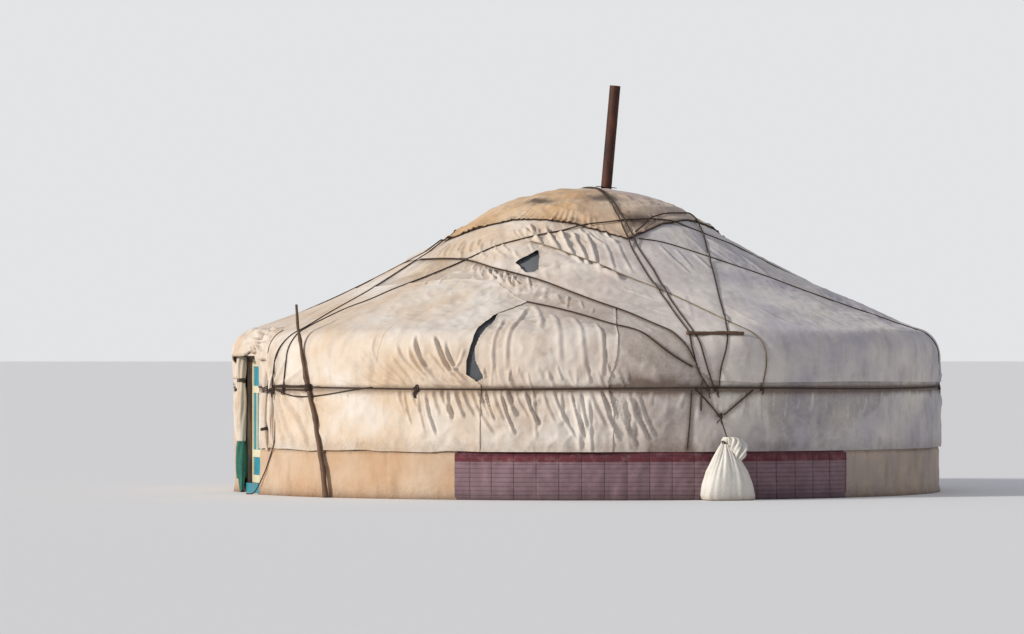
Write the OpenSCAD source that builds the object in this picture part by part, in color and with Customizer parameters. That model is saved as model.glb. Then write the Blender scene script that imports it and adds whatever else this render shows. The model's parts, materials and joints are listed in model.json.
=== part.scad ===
// Felt and canvas yurt: a lattice wall, bent roof poles and a crown, dressed in felt,
// canvas and quilted skirts, and tied down with ropes.
// Millimetres, +Z up. The origin is on the ground under the crown; the door faces -Y.
// Azimuths are in degrees from the door, growing towards +X.

/* [Wall] */
// Outer radius of the wall canvas
wall_r = 3890; // [3000:10:5000]
// How far the top of the door frame stands above the eave
head_over = 21; // [0:1:40]
// Height of the lower hem of the wall canvas
hem_z = 500; // [300:10:800]
// Height of the felt strip laid round the foot of the wall
strip_h = 160; // [80:10:300]

/* [Roof] */
// Bend radius of the covers over the shoulder
shoulder_r = 270; // [200:5:400]
// Mean slope of the roof
roof_pitch = 26.7; // [22:0.1:34]
// How far the slope at either end of a pole differs from the mean
roof_sag = 7; // [2:0.5:9]
// Radius at which the roof covers meet the crown ring
crown_r = 1100; // [800:10:1400]
// Rise of the crown bars above the ring
crown_rise = 225; // [120:5:400]

/* [Covers] */
// Thickness of the canvas
canvas_t = 4; // [2:0.5:8]
// Thickness of the felt under the canvas
felt_t = 20; // [10:1:30]
// Thickness of the skirts round the foot of the wall
skirt_t = 14; // [6:1:24]
// Thickness of the crown cover
cover_t = 6; // [3:0.5:12]
// Distance from the axis to the straight sides of the crown cover
cover_side = 1280; // [1150:10:1600]
// Distance from the axis to the corners of the crown cover
cover_corner = 1650; // [1400:10:1900]
// Gap between a piece and what it lies on
seat = 0.3; // [0.1:0.05:0.6]

/* [Lattice] */
// Angle between the heads of the lattice
head_pitch = 5; // [5:5:5]
// Height of the lattice
lattice_h = 1380; // [1250:10:1450]
// Width of a lattice bar
bar_w = 32; // [20:1:45]
// Thickness of a lattice bar
bar_t = 15; // [10:1:20]
// Slope of a lattice bar from upright
bar_tilt = 38; // [30:1:45]
// Distance from the top of a bar to its first crossing
head_l = 70; // [50:5:120]

/* [Roof poles] */
// Depth of a roof pole, square to the covers
pole_d = 36; // [26:1:45]
// Width of a roof pole
pole_w = 34; // [24:1:44]
// Height of the foot of a roof pole
pole_foot_z = 1060; // [950:10:1200]
// Length of the tenon at the top of a pole
tenon_l = 45; // [25:5:60]
// Thickness of the tenon
tenon_w = 22; // [16:1:26]

/* [Crown] */
// Width of the crown ring along the roof
ring_w = 72; // [60:2:120]
// Depth of the crown ring square to the roof
ring_h = 88; // [70:2:140]
// Width of a crown bar
crown_bar_w = 36; // [24:2:50]
// Depth of a crown bar
crown_bar_h = 46; // [30:2:70]
// Distance between neighbouring crown bars
crown_bar_pitch = 190; // [100:10:220]

/* [Door] */
// Width of the door leaf
leaf_w = 690; // [600:5:800]
// Height of the door leaf
leaf_h = 1348; // [1100:2:1600]
// Thickness of the door leaf
leaf_t = 40; // [32:1:50]
// Height of the threshold
sill_h = 105; // [60:5:140]
// Running gap round the leaf
leaf_gap = 5; // [5:0.5:8]
// Width of a door post
post_w = 70; // [50:5:100]
// Depth of the door frame
frame_d = 120; // [100:5:150]
// Height of the head of the door frame
head_h = 58; // [40:2:80]
// How far the front of the door frame is set in from the face of the wall canvas
frame_in = 120; // [100:5:190]
// Thickness of the board on top of the head
head_board_h = 28; // [18:1:40]
// How far the leaf is set back in the frame
leaf_back = 45; // [10:5:60]
// Width of the leaf's stiles
stile_w = 70; // [50:5:90]
// Height of the leaf's bottom rail
bottom_rail_h = 84; // [60:2:120]
// Height of the panel above the bottom rail
low_panel_h = 196; // [120:2:260]
// Height of the rail under the tall panels
low_rail_h = 81; // [60:1:110]
// Height of the rail over the tall panels
high_rail_h = 76; // [60:1:110]
// Height of the panel under the top rail
high_panel_h = 213; // [120:1:260]
// Height of the leaf's top rail
top_rail_h = 77; // [60:1:110]
// Width of the two bars between the tall panels
mullion_w = 40; // [25:5:60]
// Thickness of a door panel
panel_t = 14; // [8:1:20]
// Diameter of the wooden pivots of the leaf
pivot_d = 24; // [18:1:30]
// Length of the wooden pivots
pivot_l = 30; // [20:1:40]

/* [Stove pipe] */
// Diameter of the stove pipe
pipe_d = 120; // [80:5:160]
// Length of the stove pipe
pipe_l = 1310; // [800:10:2000]
// Lean of the stove pipe
pipe_lean = 5; // [0:1:10]

/* [Hidden] */

wood = "#a5713d";
pole_wood = "#8a5a34";
felt_grey = "#8b8274";
canvas_cream = "#dccdb4";
frame_cream = "#d9cfae";
panel_teal = "#2f7f8c";
quilt_mauve = "#8d6676";
rust = "#7a4a35";
rope_dark = "#3a2a24";

whole_turn = 360;
true_arc = 360;
shoulder_steps = 10;
roof_steps = 8;
dome_steps = 8;

// The door frame's head sets the height at which the covers leave the wall and turn in
// over the poles
head_z = sill_h + leaf_h + 2 * leaf_gap;
frame_top = head_z + head_h;
eave_z = frame_top - head_over;

// How far a piece lies inside the outer face of the canvas
canvas_in = canvas_t;
felt_out = canvas_in + seat;
felt_in = felt_out + felt_t;
shoulder_turn = 90 - roof_pitch + roof_sag;
shoulder_flat = shoulder_r * (1 - cos(shoulder_turn / shoulder_steps / 2));
pole_out = felt_in + seat + shoulder_flat;
pole_mid = pole_out + pole_d / 2;
lattice_out = pole_out + pole_d + seat;

// The roof's section: a bend over the shoulder, then a long hollow curve to the crown
shoulder_c = [wall_r - shoulder_r, eave_z];
knee = shoulder_c + shoulder_r * [cos(shoulder_turn), sin(shoulder_turn)];
roof_chord = (knee[0] - crown_r) / cos(roof_pitch);
roof_arc_r = roof_chord / (2 * sin(roof_sag));
roof_arc_c = shoulder_c + (shoulder_r + roof_arc_r) * [cos(shoulder_turn), sin(shoulder_turn)];
top_slope = roof_pitch + roof_sag;
crown_edge = knee + roof_chord * [-cos(roof_pitch), sin(roof_pitch)];
up_slope = [-cos(top_slope), sin(top_slope)];
off_slope = [sin(top_slope), cos(top_slope)];

// The crown: a ring, and a low dome of bars that starts at its upper inner edge
ring_lip = crown_edge + (seat + ring_w) * up_slope;
dome_r = (ring_lip[0] * ring_lip[0] + crown_rise * crown_rise) / (2 * crown_rise);
dome_c = ring_lip[1] + crown_rise - dome_r;
dome_half = asin(ring_lip[0] / dome_r);
dome_flat = dome_r * (1 - cos(dome_half / dome_steps / 2));

// The doorway
door_open_w = leaf_w + 2 * leaf_gap;
frame_half_w = door_open_w / 2 + post_w;
leaf_z = sill_h + leaf_gap;
frame_y = wall_r - frame_in;
leaf_y = frame_y - leaf_back - leaf_t / 2;
hinge_x = -leaf_w / 2 + leaf_t / 2;
pivot_gap = 0.5;
cover_end_x = frame_half_w + 75;
lattice_end_x = frame_half_w + 52;
door_half = asin(cover_end_x / wall_r);
wall_sweep = whole_turn - 2 * door_half;

// Points of the covers' section from a given depth inside the canvas face
function shoulder_point(in, k) =
    let (a = shoulder_turn * k / shoulder_steps)
    shoulder_c + (shoulder_r - in) * [cos(a), sin(a)];
function roof_point(in, k) =
    let (a = shoulder_turn + 180 - 2 * roof_sag * k / roof_steps)
    roof_arc_c + (roof_arc_r + in) * [cos(a), sin(a)];
function cover_line(in) = concat(
    [for (k = [0:shoulder_steps]) shoulder_point(in, k)],
    [for (k = [1:roof_steps]) roof_point(in, k)]);
function dome_point(out, k) =
    let (a = dome_half * k / dome_steps)
    [(dome_r + out) * sin(a), dome_c + (dome_r + out) * cos(a)];
// A point of the covers' face at a distance up from the eave (down the wall if negative),
// standing off the face by out
shoulder_l = shoulder_r * shoulder_turn * PI / 180;
edge_s = shoulder_l + roof_arc_r * 2 * roof_sag * PI / 180;
lip_s = edge_s + seat + ring_w;
top_s = lip_s + dome_r * dome_half * PI / 180;
function degrees(length, r) = length / r * 180 / PI;
function cover_at(s, out) =
    s < 0 ? [wall_r + out, eave_z + s]
    : s < shoulder_l ?
        let (a = degrees(s, shoulder_r))
        shoulder_c + (shoulder_r + out) * [cos(a), sin(a)]
    : s < edge_s ?
        let (a = shoulder_turn + 180 - degrees(s - shoulder_l, roof_arc_r))
        roof_arc_c + (roof_arc_r - out) * [cos(a), sin(a)]
    : s < lip_s ? crown_edge + (s - edge_s) * up_slope + out * off_slope
    : let (a = dome_half - degrees(s - lip_s, dome_r))
        [(dome_r + out) * sin(a), dome_c + (dome_r + out) * cos(a)];
function backwards(line) = [for (k = [len(line) - 1:-1:0]) line[k]];

// A piece of the wall or the roof swept round the axis between two azimuths
module swept(from, to) {
    rotate([0, 0, from - 90])
        rotate_extrude(angle = to - from, $fn = true_arc)
            children();
}

// A sheet that covers the wall between two heights
module wall_sheet(from, to, outer, thick, low, high) {
    swept(from, to)
        translate([wall_r - outer - thick, low])
            square([thick, high - low]);
}

// A sheet that covers the roof from the eave to the crown ring
module roof_sheet(from, to, outer, thick) {
    swept(from, to)
        polygon(concat(cover_line(outer), backwards(cover_line(outer + thick))));
}

lattice_r = wall_r - lattice_out - bar_t;
lattice_mid_z = lattice_h / 2;
head_z_cross = lattice_h - head_l;
bar_run = (head_z_cross - lattice_mid_z) * tan(bar_tilt);
bar_end_run = lattice_mid_z * tan(bar_tilt) + bar_w / 2 / cos(bar_tilt);
bar_waist_r = sqrt(lattice_r * lattice_r - bar_end_run * bar_end_run);
bar_turn = atan(bar_run / bar_waist_r);
bar_l = (lattice_h + bar_w) / cos(bar_tilt) + bar_w;
heads_per_panel = 7;
panels_per_node = 2;
first_head = 1.5 * head_pitch;
bars_past = ceil(2 * bar_turn / head_pitch) + 1;
panel_gap = 0.4;
bar_bite = 1;

// One straight bar of the lattice, leaning to one side of the head that it ends at
module lattice_bar(head, side) {
    layer = side * (bar_t - bar_bite) / 2;
    rotate([0, 0, head - side * bar_turn - 90])
        translate([bar_waist_r + layer, 0, lattice_mid_z])
            rotate([-side * bar_tilt, 0, 0])
                cube([bar_t, bar_w, bar_l], center = true);
}

// A folding panel of the lattice between two azimuths, its bars fused where they cross
module lattice_panel(index) {
    doorway = asin(lattice_end_x / lattice_r);
    from = max(doorway, first_head + (index * heads_per_panel - 0.5) * head_pitch);
    to = min(whole_turn - doorway, first_head + ((index + 1) * heads_per_panel - 0.5) * head_pitch);
    far = wall_r * 1.2;
    intersection() {
        union() {
            for (k = [-bars_past:heads_per_panel + bars_past])
                for (side = [-1, 1])
                    lattice_bar(first_head + (index * heads_per_panel + k) * head_pitch, side);
        }
        linear_extrude(lattice_h)
            rotate(from - 90)
                polygon([
                    [panel_gap, panel_gap / 2],
                    [far, panel_gap / 2],
                    far * [cos(to - from), sin(to - from)] + [panel_gap / 2, -panel_gap / 2]
                ]);
    }
}

module lattice_wall(number) {
    color(wood)
        for (k = [0:panels_per_node - 1])
            lattice_panel((number - 1) * panels_per_node + k);
}

// Part of a flat ring between two azimuths of its own plane
module ring_part(c, inner, outer, from, to) {
    far = 2 * outer;
    intersection() {
        translate(c)
            difference() {
                circle(r = outer, $fn = true_arc * 4);
                circle(r = inner, $fn = true_arc * 4);
            }
        polygon([c, c + far * [cos(from), sin(from)], c + far * [cos(to), sin(to)]]);
    }
}

// A roof pole's side view: an upright foot, a bend over the shoulder and a long hollow curve
module pole_outline(foot_z) {
    intersection() {
        union() {
            translate([wall_r - pole_out - pole_d, pole_foot_z])
                square([pole_d, eave_z - pole_foot_z]);
            ring_part(shoulder_c, shoulder_r - pole_out - pole_d, shoulder_r - pole_out,
                0, shoulder_turn);
            ring_part(roof_arc_c, roof_arc_r + pole_out, roof_arc_r + pole_out + pole_d,
                shoulder_turn + 180 - 2 * roof_sag, shoulder_turn + 180);
        }
        translate([0, foot_z])
            square([wall_r, wall_r]);
    }
}

// The side view of the tenon that goes into the crown ring
module tenon_outline() {
    translate(roof_point(pole_mid, roof_steps))
        rotate(180 - top_slope)
            translate([-pole_d / 2, -tenon_w / 2])
                square([pole_d / 2 + tenon_l, tenon_w]);
}

poles = whole_turn / head_pitch;
poles_per_node = poles / 4;

module roof_poles(number) {
    color(pole_wood)
        for (k = [0:poles_per_node - 1]) {
            azimuth = ((number - 1) * poles_per_node + k + 0.5) * head_pitch;
            over_door = azimuth < door_half || azimuth > whole_turn - door_half;
            rotate([90, 0, azimuth - 90]) {
                translate([0, 0, -pole_w / 2])
                    linear_extrude(pole_w)
                        pole_outline(over_door ? frame_top + seat : 0);
                translate([0, 0, -tenon_w / 2])
                    linear_extrude(tenon_w)
                        tenon_outline();
            }
        }
}

function ring_corner(along, deep) = crown_edge + (seat + along) * up_slope - deep * off_slope;

module crown_ring() {
    tip = roof_point(pole_mid, roof_steps);
    play = 2 * seat;
    color(wood)
        difference() {
            rotate_extrude($fn = true_arc)
                polygon([
                    ring_corner(0, 0), ring_corner(ring_w, 0),
                    ring_corner(ring_w, ring_h), ring_corner(0, ring_h)
                ]);
            for (k = [0:poles - 1])
                rotate([0, 0, (k + 0.5) * head_pitch - 90])
                    translate([tip[0], 0, tip[1]])
                        rotate([0, top_slope - 180, 0])
                            translate([-ring_w / 2, -(tenon_w + play) / 2, -(tenon_w + play) / 2])
                                cube([ring_w / 2 + tenon_l + seat, tenon_w + play, tenon_w + play]);
        }
}

// One bent bar of the crown, standing off the axis by a given distance
module crown_bar(off) {
    reach = abs(off) + crown_bar_w / 2;
    top_r = sqrt(dome_r * dome_r - reach * reach) - dome_flat - seat;
    translate([0, off + crown_bar_w / 2, dome_c])
        rotate([90, 0, 0])
            linear_extrude(crown_bar_w)
                difference() {
                    circle(r = top_r, $fn = true_arc);
                    circle(r = top_r - crown_bar_h, $fn = true_arc);
                    translate([-2 * dome_r, -2 * dome_r])
                        square([4 * dome_r, 2 * dome_r + dome_r / 2]);
                }
}

module crown_bars() {
    low = ring_corner(ring_w + seat, ring_h);
    high = ring_corner(ring_w + seat, -2 * crown_rise - ring_h);
    color(wood)
        intersection() {
            union()
                for (turn = [0, 90])
                    for (k = [-1:1])
                        rotate([0, 0, turn])
                            crown_bar(k * crown_bar_pitch);
            rotate_extrude($fn = true_arc)
                polygon([[0, low[1]], low, high, [0, high[1]]]);
        }
}

// The door frame: two posts and a head, with a board on top that is cut to the round of the
// wall and carries the poles over the doorway
module door_frame() {
    color(frame_cream)
        difference() {
            union() {
                translate([-frame_half_w, -frame_y, 0])
                    cube([2 * frame_half_w, frame_d, frame_top]);
                translate([0, 0, frame_top - head_board_h])
                    linear_extrude(head_board_h)
                        intersection() {
                            translate([-frame_half_w, -wall_r])
                                square([2 * frame_half_w, wall_r - frame_y + frame_d]);
                            circle(r = wall_r - felt_in - seat - 2, $fn = true_arc * 2);
                        }
            }
            translate([-door_open_w / 2, -frame_y - 1, -1])
                cube([door_open_w, frame_d + 2, head_z + 1]);
            translate([hinge_x, -leaf_y, head_z - 1])
                cylinder(d = pivot_d + 2 * pivot_gap, h = pivot_l + 3, $fn = 32);
        }
}

module door_threshold() {
    color(panel_teal)
        difference() {
            translate([-door_open_w / 2 + seat, -frame_y - 20, 0])
                cube([door_open_w - 2 * seat, frame_d + 20, sill_h]);
            translate([hinge_x, -leaf_y, sill_h - pivot_l - 2])
                cylinder(d = pivot_d + 2 * pivot_gap, h = pivot_l + 3, $fn = 32);
        }
}

tall_panel_z = bottom_rail_h + low_panel_h + low_rail_h;
high_panel_z = leaf_h - top_rail_h - high_panel_h;
tall_panel_h = high_panel_z - high_rail_h - tall_panel_z;
inner_w = leaf_w - 2 * stile_w;
tall_w = (inner_w - 2 * mullion_w) / 3;
panel_rebate = 8;

// The openings of the leaf: one wide panel below, three tall ones, one wide one above
function panel_boxes() = [
    [-inner_w / 2, bottom_rail_h, inner_w, low_panel_h],
    for (k = [0:2])
        [-inner_w / 2 + k * (tall_w + mullion_w), tall_panel_z, tall_w, tall_panel_h],
    [-inner_w / 2, high_panel_z, inner_w, high_panel_h]
];

module leaf_place() {
    translate([0, -leaf_y, leaf_z])
        children();
}

module door_leaf() {
    color(frame_cream)
        leaf_place()
            difference() {
                union() {
                    translate([hinge_x, -leaf_t / 2, 0])
                        cube([leaf_w - leaf_t / 2, leaf_t, leaf_h]);
                    translate([hinge_x, 0, 0])
                        cylinder(d = leaf_t, h = leaf_h, $fn = 48);
                    translate([hinge_x, 0, -pivot_l])
                        cylinder(d = pivot_d, h = leaf_h + 2 * pivot_l, $fn = 32);
                }
                for (b = panel_boxes()) {
                    translate([b[0], -leaf_t, b[1]])
                        cube([b[2], 2 * leaf_t, b[3]]);
                    translate([b[0] - panel_rebate, -panel_t / 2, b[1] - panel_rebate])
                        cube([b[2] + 2 * panel_rebate, panel_t, b[3] + 2 * panel_rebate]);
                }
            }
}

module door_panels() {
    color(panel_teal)
        leaf_place()
            for (b = panel_boxes())
                translate([
                    b[0] - panel_rebate + seat, -panel_t / 2 + seat, b[1] - panel_rebate + seat
                ])
                    cube([
                        b[2] + 2 * panel_rebate - 2 * seat, panel_t - 2 * seat,
                        b[3] + 2 * panel_rebate - 2 * seat
                    ]);
}

// A ring handle that hangs from a staple, on a plate across the nearer upright bar
handle_up = 235;
handle_z = tall_panel_z + handle_up;
handle_x = inner_w / 2 - tall_w - mullion_w / 2;
plate_size = [30, 4, 90];
staple_r = 16;
staple_wire = 6;
handle_r = 36;
handle_wire = 8;

module wire_ring(r, wire, turn) {
    rotate_extrude(angle = turn, $fn = 48)
        translate([r, 0])
            circle(d = wire, $fn = 24);
}

module door_handle() {
    stand_off = handle_wire / 2 + seat;
    room = staple_r - (staple_wire + handle_wire) / 2 - seat;
    drop = sqrt(room * room - stand_off * stand_off);
    color(rust)
        leaf_place()
            translate([handle_x, -leaf_t / 2 - seat - plate_size[1], handle_z]) {
                translate([-plate_size[0] / 2, 0, -plate_size[2] / 2])
                    cube(plate_size);
                rotate([90, 0, -90])
                    rotate(-90)
                        wire_ring(staple_r, staple_wire, whole_turn / 2);
                translate([0, -stand_off, -drop - handle_r])
                    rotate([90, 0, 0])
                        wire_ring(handle_r, handle_wire, whole_turn);
            }
}

module ground_strip() {
    color(felt_grey)
        wall_sheet(door_half, whole_turn - door_half, felt_in + seat, lattice_out - felt_in - 2 * seat,
            0, strip_h);
}

wall_parts = 4;
function part_edge(k) = door_half + wall_sweep * k / wall_parts;

module felt_wall(number) {
    color(felt_grey)
        wall_sheet(part_edge(number - 1) + 0.01, part_edge(number) - 0.01, felt_out, felt_t,
            0, eave_z - seat);
}

// The canvas is torn open beside a seam, and has a hole higher up. Each is an outline: of
// distances round the wall and heights, and of azimuths and distances up from the eave.
slit_azimuth = 56.2;
slit_line = [
    [60, 1975], [-12, 1830], [-27, 1632], [-81, 1440], [-88, 1300], [0, 1250], [102, 1269],
    [14, 1440], [53, 1700], [87, 1830]
];
hole_line = [
    [52.4, 2090], [57.2, 2380], [58.9, 2235], [60.4, 1945], [59.5, 1870], [57.4, 1870], [54.1, 2015]
];

module slit() {
    rotate([0, 0, slit_azimuth - 90])
        translate([wall_r + rope_d, 0, 0])
            rotate([90, 0, -90])
                linear_extrude(2 * shoulder_r)
                    polygon([for (p = slit_line) [-p[0], p[1]]]);
}

module hole() {
    translate([0, 0, eave_z])
        linear_extrude(eave_z)
            polygon([for (p = hole_line) cover_at(p[1], 0)[0] * [sin(p[0]), -cos(p[0])]]);
}

module canvas_wall(number) {
    color(canvas_cream)
        difference() {
            wall_sheet(part_edge(number - 1) + 0.01, part_edge(number) - 0.01, 0, canvas_t,
                hem_z, eave_z - seat);
            if (number == 1)
                slit();
        }
    if (number == 1)
        canvas_bunch();
}

module felt_roof(from, to) {
    color(felt_grey)
        roof_sheet(from + 0.01, to - 0.01, felt_out, felt_t);
}

module canvas_roof(from, to) {
    color(canvas_cream)
        difference() {
            roof_sheet(from + 0.01, to - 0.01, 0, canvas_t);
            if (to < whole_turn / 2) {
                slit();
                hole();
            }
        }
}

cover_turn = 89;
pipe_at = [-285, 300];
pipe_base_z = dome_c + dome_r - 120;

module pipe_place() {
    translate([pipe_at[0], pipe_at[1], pipe_base_z])
        rotate([0, 0, -16.5])
            rotate([-pipe_lean, 0, 0])
                children();
}

module crown_cover() {
    roof_line = [for (k = [0:roof_steps]) roof_point(-seat, k)];
    roof_line_out = [for (k = [0:roof_steps]) roof_point(-seat - cover_t, k)];
    dome_line = [for (k = [dome_steps:-1:0]) dome_point(0, k)];
    dome_line_out = [for (k = [dome_steps:-1:0]) dome_point(cover_t, k)];
    color(canvas_cream)
        difference() {
            intersection() {
                rotate_extrude($fn = true_arc)
                    polygon(concat(roof_line, dome_line,
                        backwards(dome_line_out), backwards(roof_line_out)));
                rotate([0, 0, cover_turn - 45])
                    translate([0, 0, eave_z])
                        linear_extrude(2 * eave_z)
                            intersection() {
                                square(2 * cover_side, center = true);
                                circle(r = cover_corner, $fn = true_arc);
                            }
            }
            pipe_place()
                cylinder(d = pipe_d + 2 * seat, h = pipe_l, center = true, $fn = 48);
        }
}

hood_half = 9;
hood_drop = 6;

module door_hood() {
    line_in = [for (k = [0:shoulder_steps]) shoulder_point(-seat, k)];
    line_out = [for (k = [0:shoulder_steps]) shoulder_point(-seat - canvas_t, k)];
    low_in = [wall_r + seat, eave_z - hood_drop];
    low_out = [wall_r + seat + canvas_t, eave_z - hood_drop];
    color(canvas_cream)
        swept(-hood_half, hood_half)
            polygon(concat([low_in], line_in, backwards(line_out), [low_out]));
}

roll_d = 110;
roll_at = [-frame_half_w + 8, -frame_y - roll_d / 2 - seat];
roll_z = [hem_z + 60, eave_z - 10];

module canvas_roll() {
    tie_z = girth_z + 45;
    color(canvas_cream)
        translate([roll_at[0], roll_at[1], 0])
            rotate_extrude($fn = 48)
                polygon([
                    [0, roll_z[0]], [36, roll_z[0]], [roll_d / 2 - 6, roll_z[0] + 90],
                    [roll_d / 2, tie_z - 200], [roll_d / 2 - 8, tie_z - 60],
                    [roll_d / 2 - 16, tie_z], [roll_d / 2 - 6, tie_z + 80],
                    [roll_d / 2 - 2, roll_z[1] - 80], [roll_d / 2 - 20, roll_z[1]], [0, roll_z[1]]
                ]);
}

// A cloth gathered round the foot of the roll, ending in two points
module green_cloth() {
    top_z = roll_z[0] - seat;
    fork_z = 230;
    full_z = 330;
    color("#3f6f5a")
        translate([roll_at[0], roll_at[1], 0]) {
            rotate_extrude($fn = 48)
                polygon([
                    [0, fork_z], [roll_d / 2 - 12, fork_z], [roll_d / 2, full_z],
                    [roll_d / 2 - 6, top_z - 60], [36, top_z], [0, top_z]
                ]);
            for (side = [-1, 1])
                translate([side * 21, 0, 20])
                    cylinder(r1 = 7, r2 = 19, h = fork_z, $fn = 24);
        }
}

skirt_in = canvas_in - skirt_t;
quilt_from = 53;
quilt_to = 118;
skirt_lift = 3;

module skirt(from, to, tone) {
    color(tone)
        wall_sheet(from + 0.01, to - 0.01, skirt_in, skirt_t, skirt_lift, hem_z - seat);
}

rope_d = 16;
girth_drop = 345;
girth_z = eave_z - girth_drop;
girth_start = 1.7;

module girth_rope() {
    color(rope_dark)
        swept(door_half + girth_start, whole_turn - door_half - 1)
            translate([wall_r + rope_d / 2 + seat, girth_z])
                circle(d = rope_d, $fn = 16);
}

// A round bar that tapers and bends through a list of points, each with its radius
function ring_points(c, r, u, v, sides) =
    [for (k = [0:sides - 1])
        let (a = whole_turn * k / sides) c + r * (cos(a) * u + sin(a) * v)];
function unit(v) = v / norm(v);
function heading(path, k) =
    unit(path[min(k + 1, len(path) - 1)] - path[max(k - 1, 0)]);

module swept_tube(path, radii, sides, up = [0.31, 0.94, 0.12], ups = []) {
    n = len(path);
    rings = [for (k = [0:n - 1])
        let (
            t = heading(path, k),
            u = unit(cross(t, len(ups) > 0 ? ups[k] : up)),
            v = cross(t, u)
        )
        each ring_points(path[k], radii[k], u, v, sides)];
    faces = concat(
        [[for (k = [0:sides - 1]) k]],
        [for (i = [0:n - 2]) for (k = [0:sides - 1])
            [i * sides + k, (i + 1) * sides + k, (i + 1) * sides + (k + 1) % sides,
                i * sides + (k + 1) % sides]],
        [[for (k = [sides - 1:-1:0]) (n - 1) * sides + k]]);
    polyhedron(points = rings, faces = faces, convexity = 4);
}

function polar(azimuth, r, z) = [r * sin(azimuth), -r * cos(azimuth), z];

function polar_of(azimuth, p) = polar(azimuth, p[0], p[1]);

// The ropes over the covers. A route is a list of azimuths and distances up from the eave;
// it ends just above the girth rope, where the rope is knotted to it. Where a route crosses
// one that lies under it, it climbs over.
tie_d = 14;
tie_end = rope_d / 2 + 6 - girth_drop;
tie_sides = 6;
roof_flat = roof_arc_r * (1 - cos(roof_sag / roof_steps));
tie_flat = tie_d / 2 * cos(whole_turn / tie_sides / 2);
tie_play = 0.64;
tie_out = tie_flat + seat + roof_flat + tie_play;
tie_over = tie_d + 1.5;
crossing_l = 80;
cover_from = 2500;

left_rope = [
    [0.6, 2650], [2.2, 2310], [10.2, 1576], [12.8, 990], [16.5, 550], [18.1, 330], [17.3, 195],
    [16, 55], [14.8, -70], [14.5, tie_end]
];
long_rope = [
    [166, tie_end], [166, 50], [165, 500], [162, 1100], [157, 1700], [151, 2300], [145.9, 2600],
    [139.8, 2675], [124.8, 2970], [106.4, 3040], [92.4, 3040], [68.8, 2895], [49.9, 2675],
    [40, 2530], [34.9, 2310], [24.7, 1725], [21, 1505], [19.5, 1210], [16.7, 990], [17.4, 550],
    [19.3, 235], [18.9, 85], [18.3, -70], [17.7, tie_end]
];
light_rope = [
    [52.5, 2590], [61.8, 2455], [76.3, 2090], [83.5, 1795], [91.2, 1430], [95.9, 990], [98.5, 625],
    [100.5, 260], [101.6, 150], [102.1, 30], [102.2, -120], [101.4, tie_end]
];
sheet_rope = [
    [61.3, 1135], [67, 990], [73, 770], [78.1, 480], [80.3, 405], [84.7, 85], [88.5, -75], [89.8, -120]
];
corner_rope = [
    [93, 2730], [104, 3040], [118.8, 3190], [135.9, 3190], [147.4, 3190], [140.3, 3040],
    [126.5, 2675], [116.3, 2310], [108.5, 1795], [103, 1285], [98.8, 695], [96, 205], [95.4, 85],
    [94.5, -100], [93.9, -280], [93.9, tie_end]
];
side_rope = [
    [94, 2660], [103.4, 2600], [115.3, 2310], [124.6, 2015], [130.6, 1795], [137, 1450],
    [146, 900], [152, 400], [155, 0], [156, tie_end]
];
far_ropes = [
    [[179, 2640], [186, 2200], [196, 1500], [202, 900], [205, 300], [205.5, tie_end]],
    [[267, 2640], [250, 2300], [240, 1600], [234, 900], [231, 300], [230, tie_end]],
    [[273, 2640], [290, 2200], [304, 1500], [311, 900], [314, 300], [315, tie_end]],
    [[357, 2650], [352, 2200], [347, 1500], [344, 900], [342, 400], [341, tie_end]]
];
// Two straps run over the crown from side to side: distance up from the eave, and how far
// they lie behind the middle of the crown
straps = [
    [[tie_end, 150], [-174, 54], [-60, 20], [97, -20], [478, -6], [1137, 5], [1800, -17],
        [2600, -26], [3400, -12], [4400, -12]],
    [[tie_end, 217], [-288, 197], [0, 108], [276, 39], [624, 54], [1357, 63], [1943, 82],
        [2529, 48], [3400, 24], [4400, 12]]
];

function ramp(x) = max(0, min(1, x));
function apart(p, q) =
    norm([(p[0] - q[0]) * PI / 180 * cover_at((p[1] + q[1]) / 2, 0)[0], p[1] - q[1]]);
function route_step(s) =
    s > -50 && s < shoulder_l + 20 ? 48
    : abs(s - lip_s) < 70 ? 35
    : s > cover_from ? 95 : 190;
function route_places(route) = concat(
    [for (k = [0:len(route) - 2])
        let (
            a = route[k], b = route[k + 1],
            n = ceil(apart(a, b) / min(route_step(a[1]), route_step(b[1]),
                route_step((a[1] + b[1]) / 2)))
        )
        for (i = [0:n - 1]) a + (b - a) * i / n],
    [route[len(route) - 1]]);
function route_out(p, over) =
    tie_out + (cover_t + seat) * ramp((p[1] - cover_from) / 100)
    + tie_over * max([0, for (c = over) ramp(2 - apart(p, c) / crossing_l)]);

module tie_rope(places, over) {
    path = [for (p = places) polar_of(p[0], cover_at(p[1], route_out(p, over)))];
    ups = [for (p = places) polar_of(p[0], cover_at(p[1], 1) - cover_at(p[1], 0))];
    swept_tube(path, [for (p = path) tie_d / 2], tie_sides, ups = ups);
}

corner_over = [[104, 3040], [132, 2825], [116, 2287], [98.4, 650]];
strap_over = [[[89.2, 3020], [89.8, 1497]], [[91.5, 3035], [91.3, 1425]]];

module strap_rope(n) {
    up_to = top_s - abs(lookup(top_s, straps[n])) * 1.15;
    levels = route_places([[0, tie_end], [0, 0], [0, shoulder_l], [0, cover_from],
        [0, lip_s - 70], [0, lip_s + 70], [0, up_to]]);
    near = [for (p = levels)
        let (y = lookup(p[1], straps[n])) [90 + asin(y / cover_at(p[1], 0)[0]), p[1]]];
    far = [for (p = backwards(near)) [whole_turn - p[0], p[1]]];
    tie_rope(concat(near, far), strap_over[n]);
}

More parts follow.
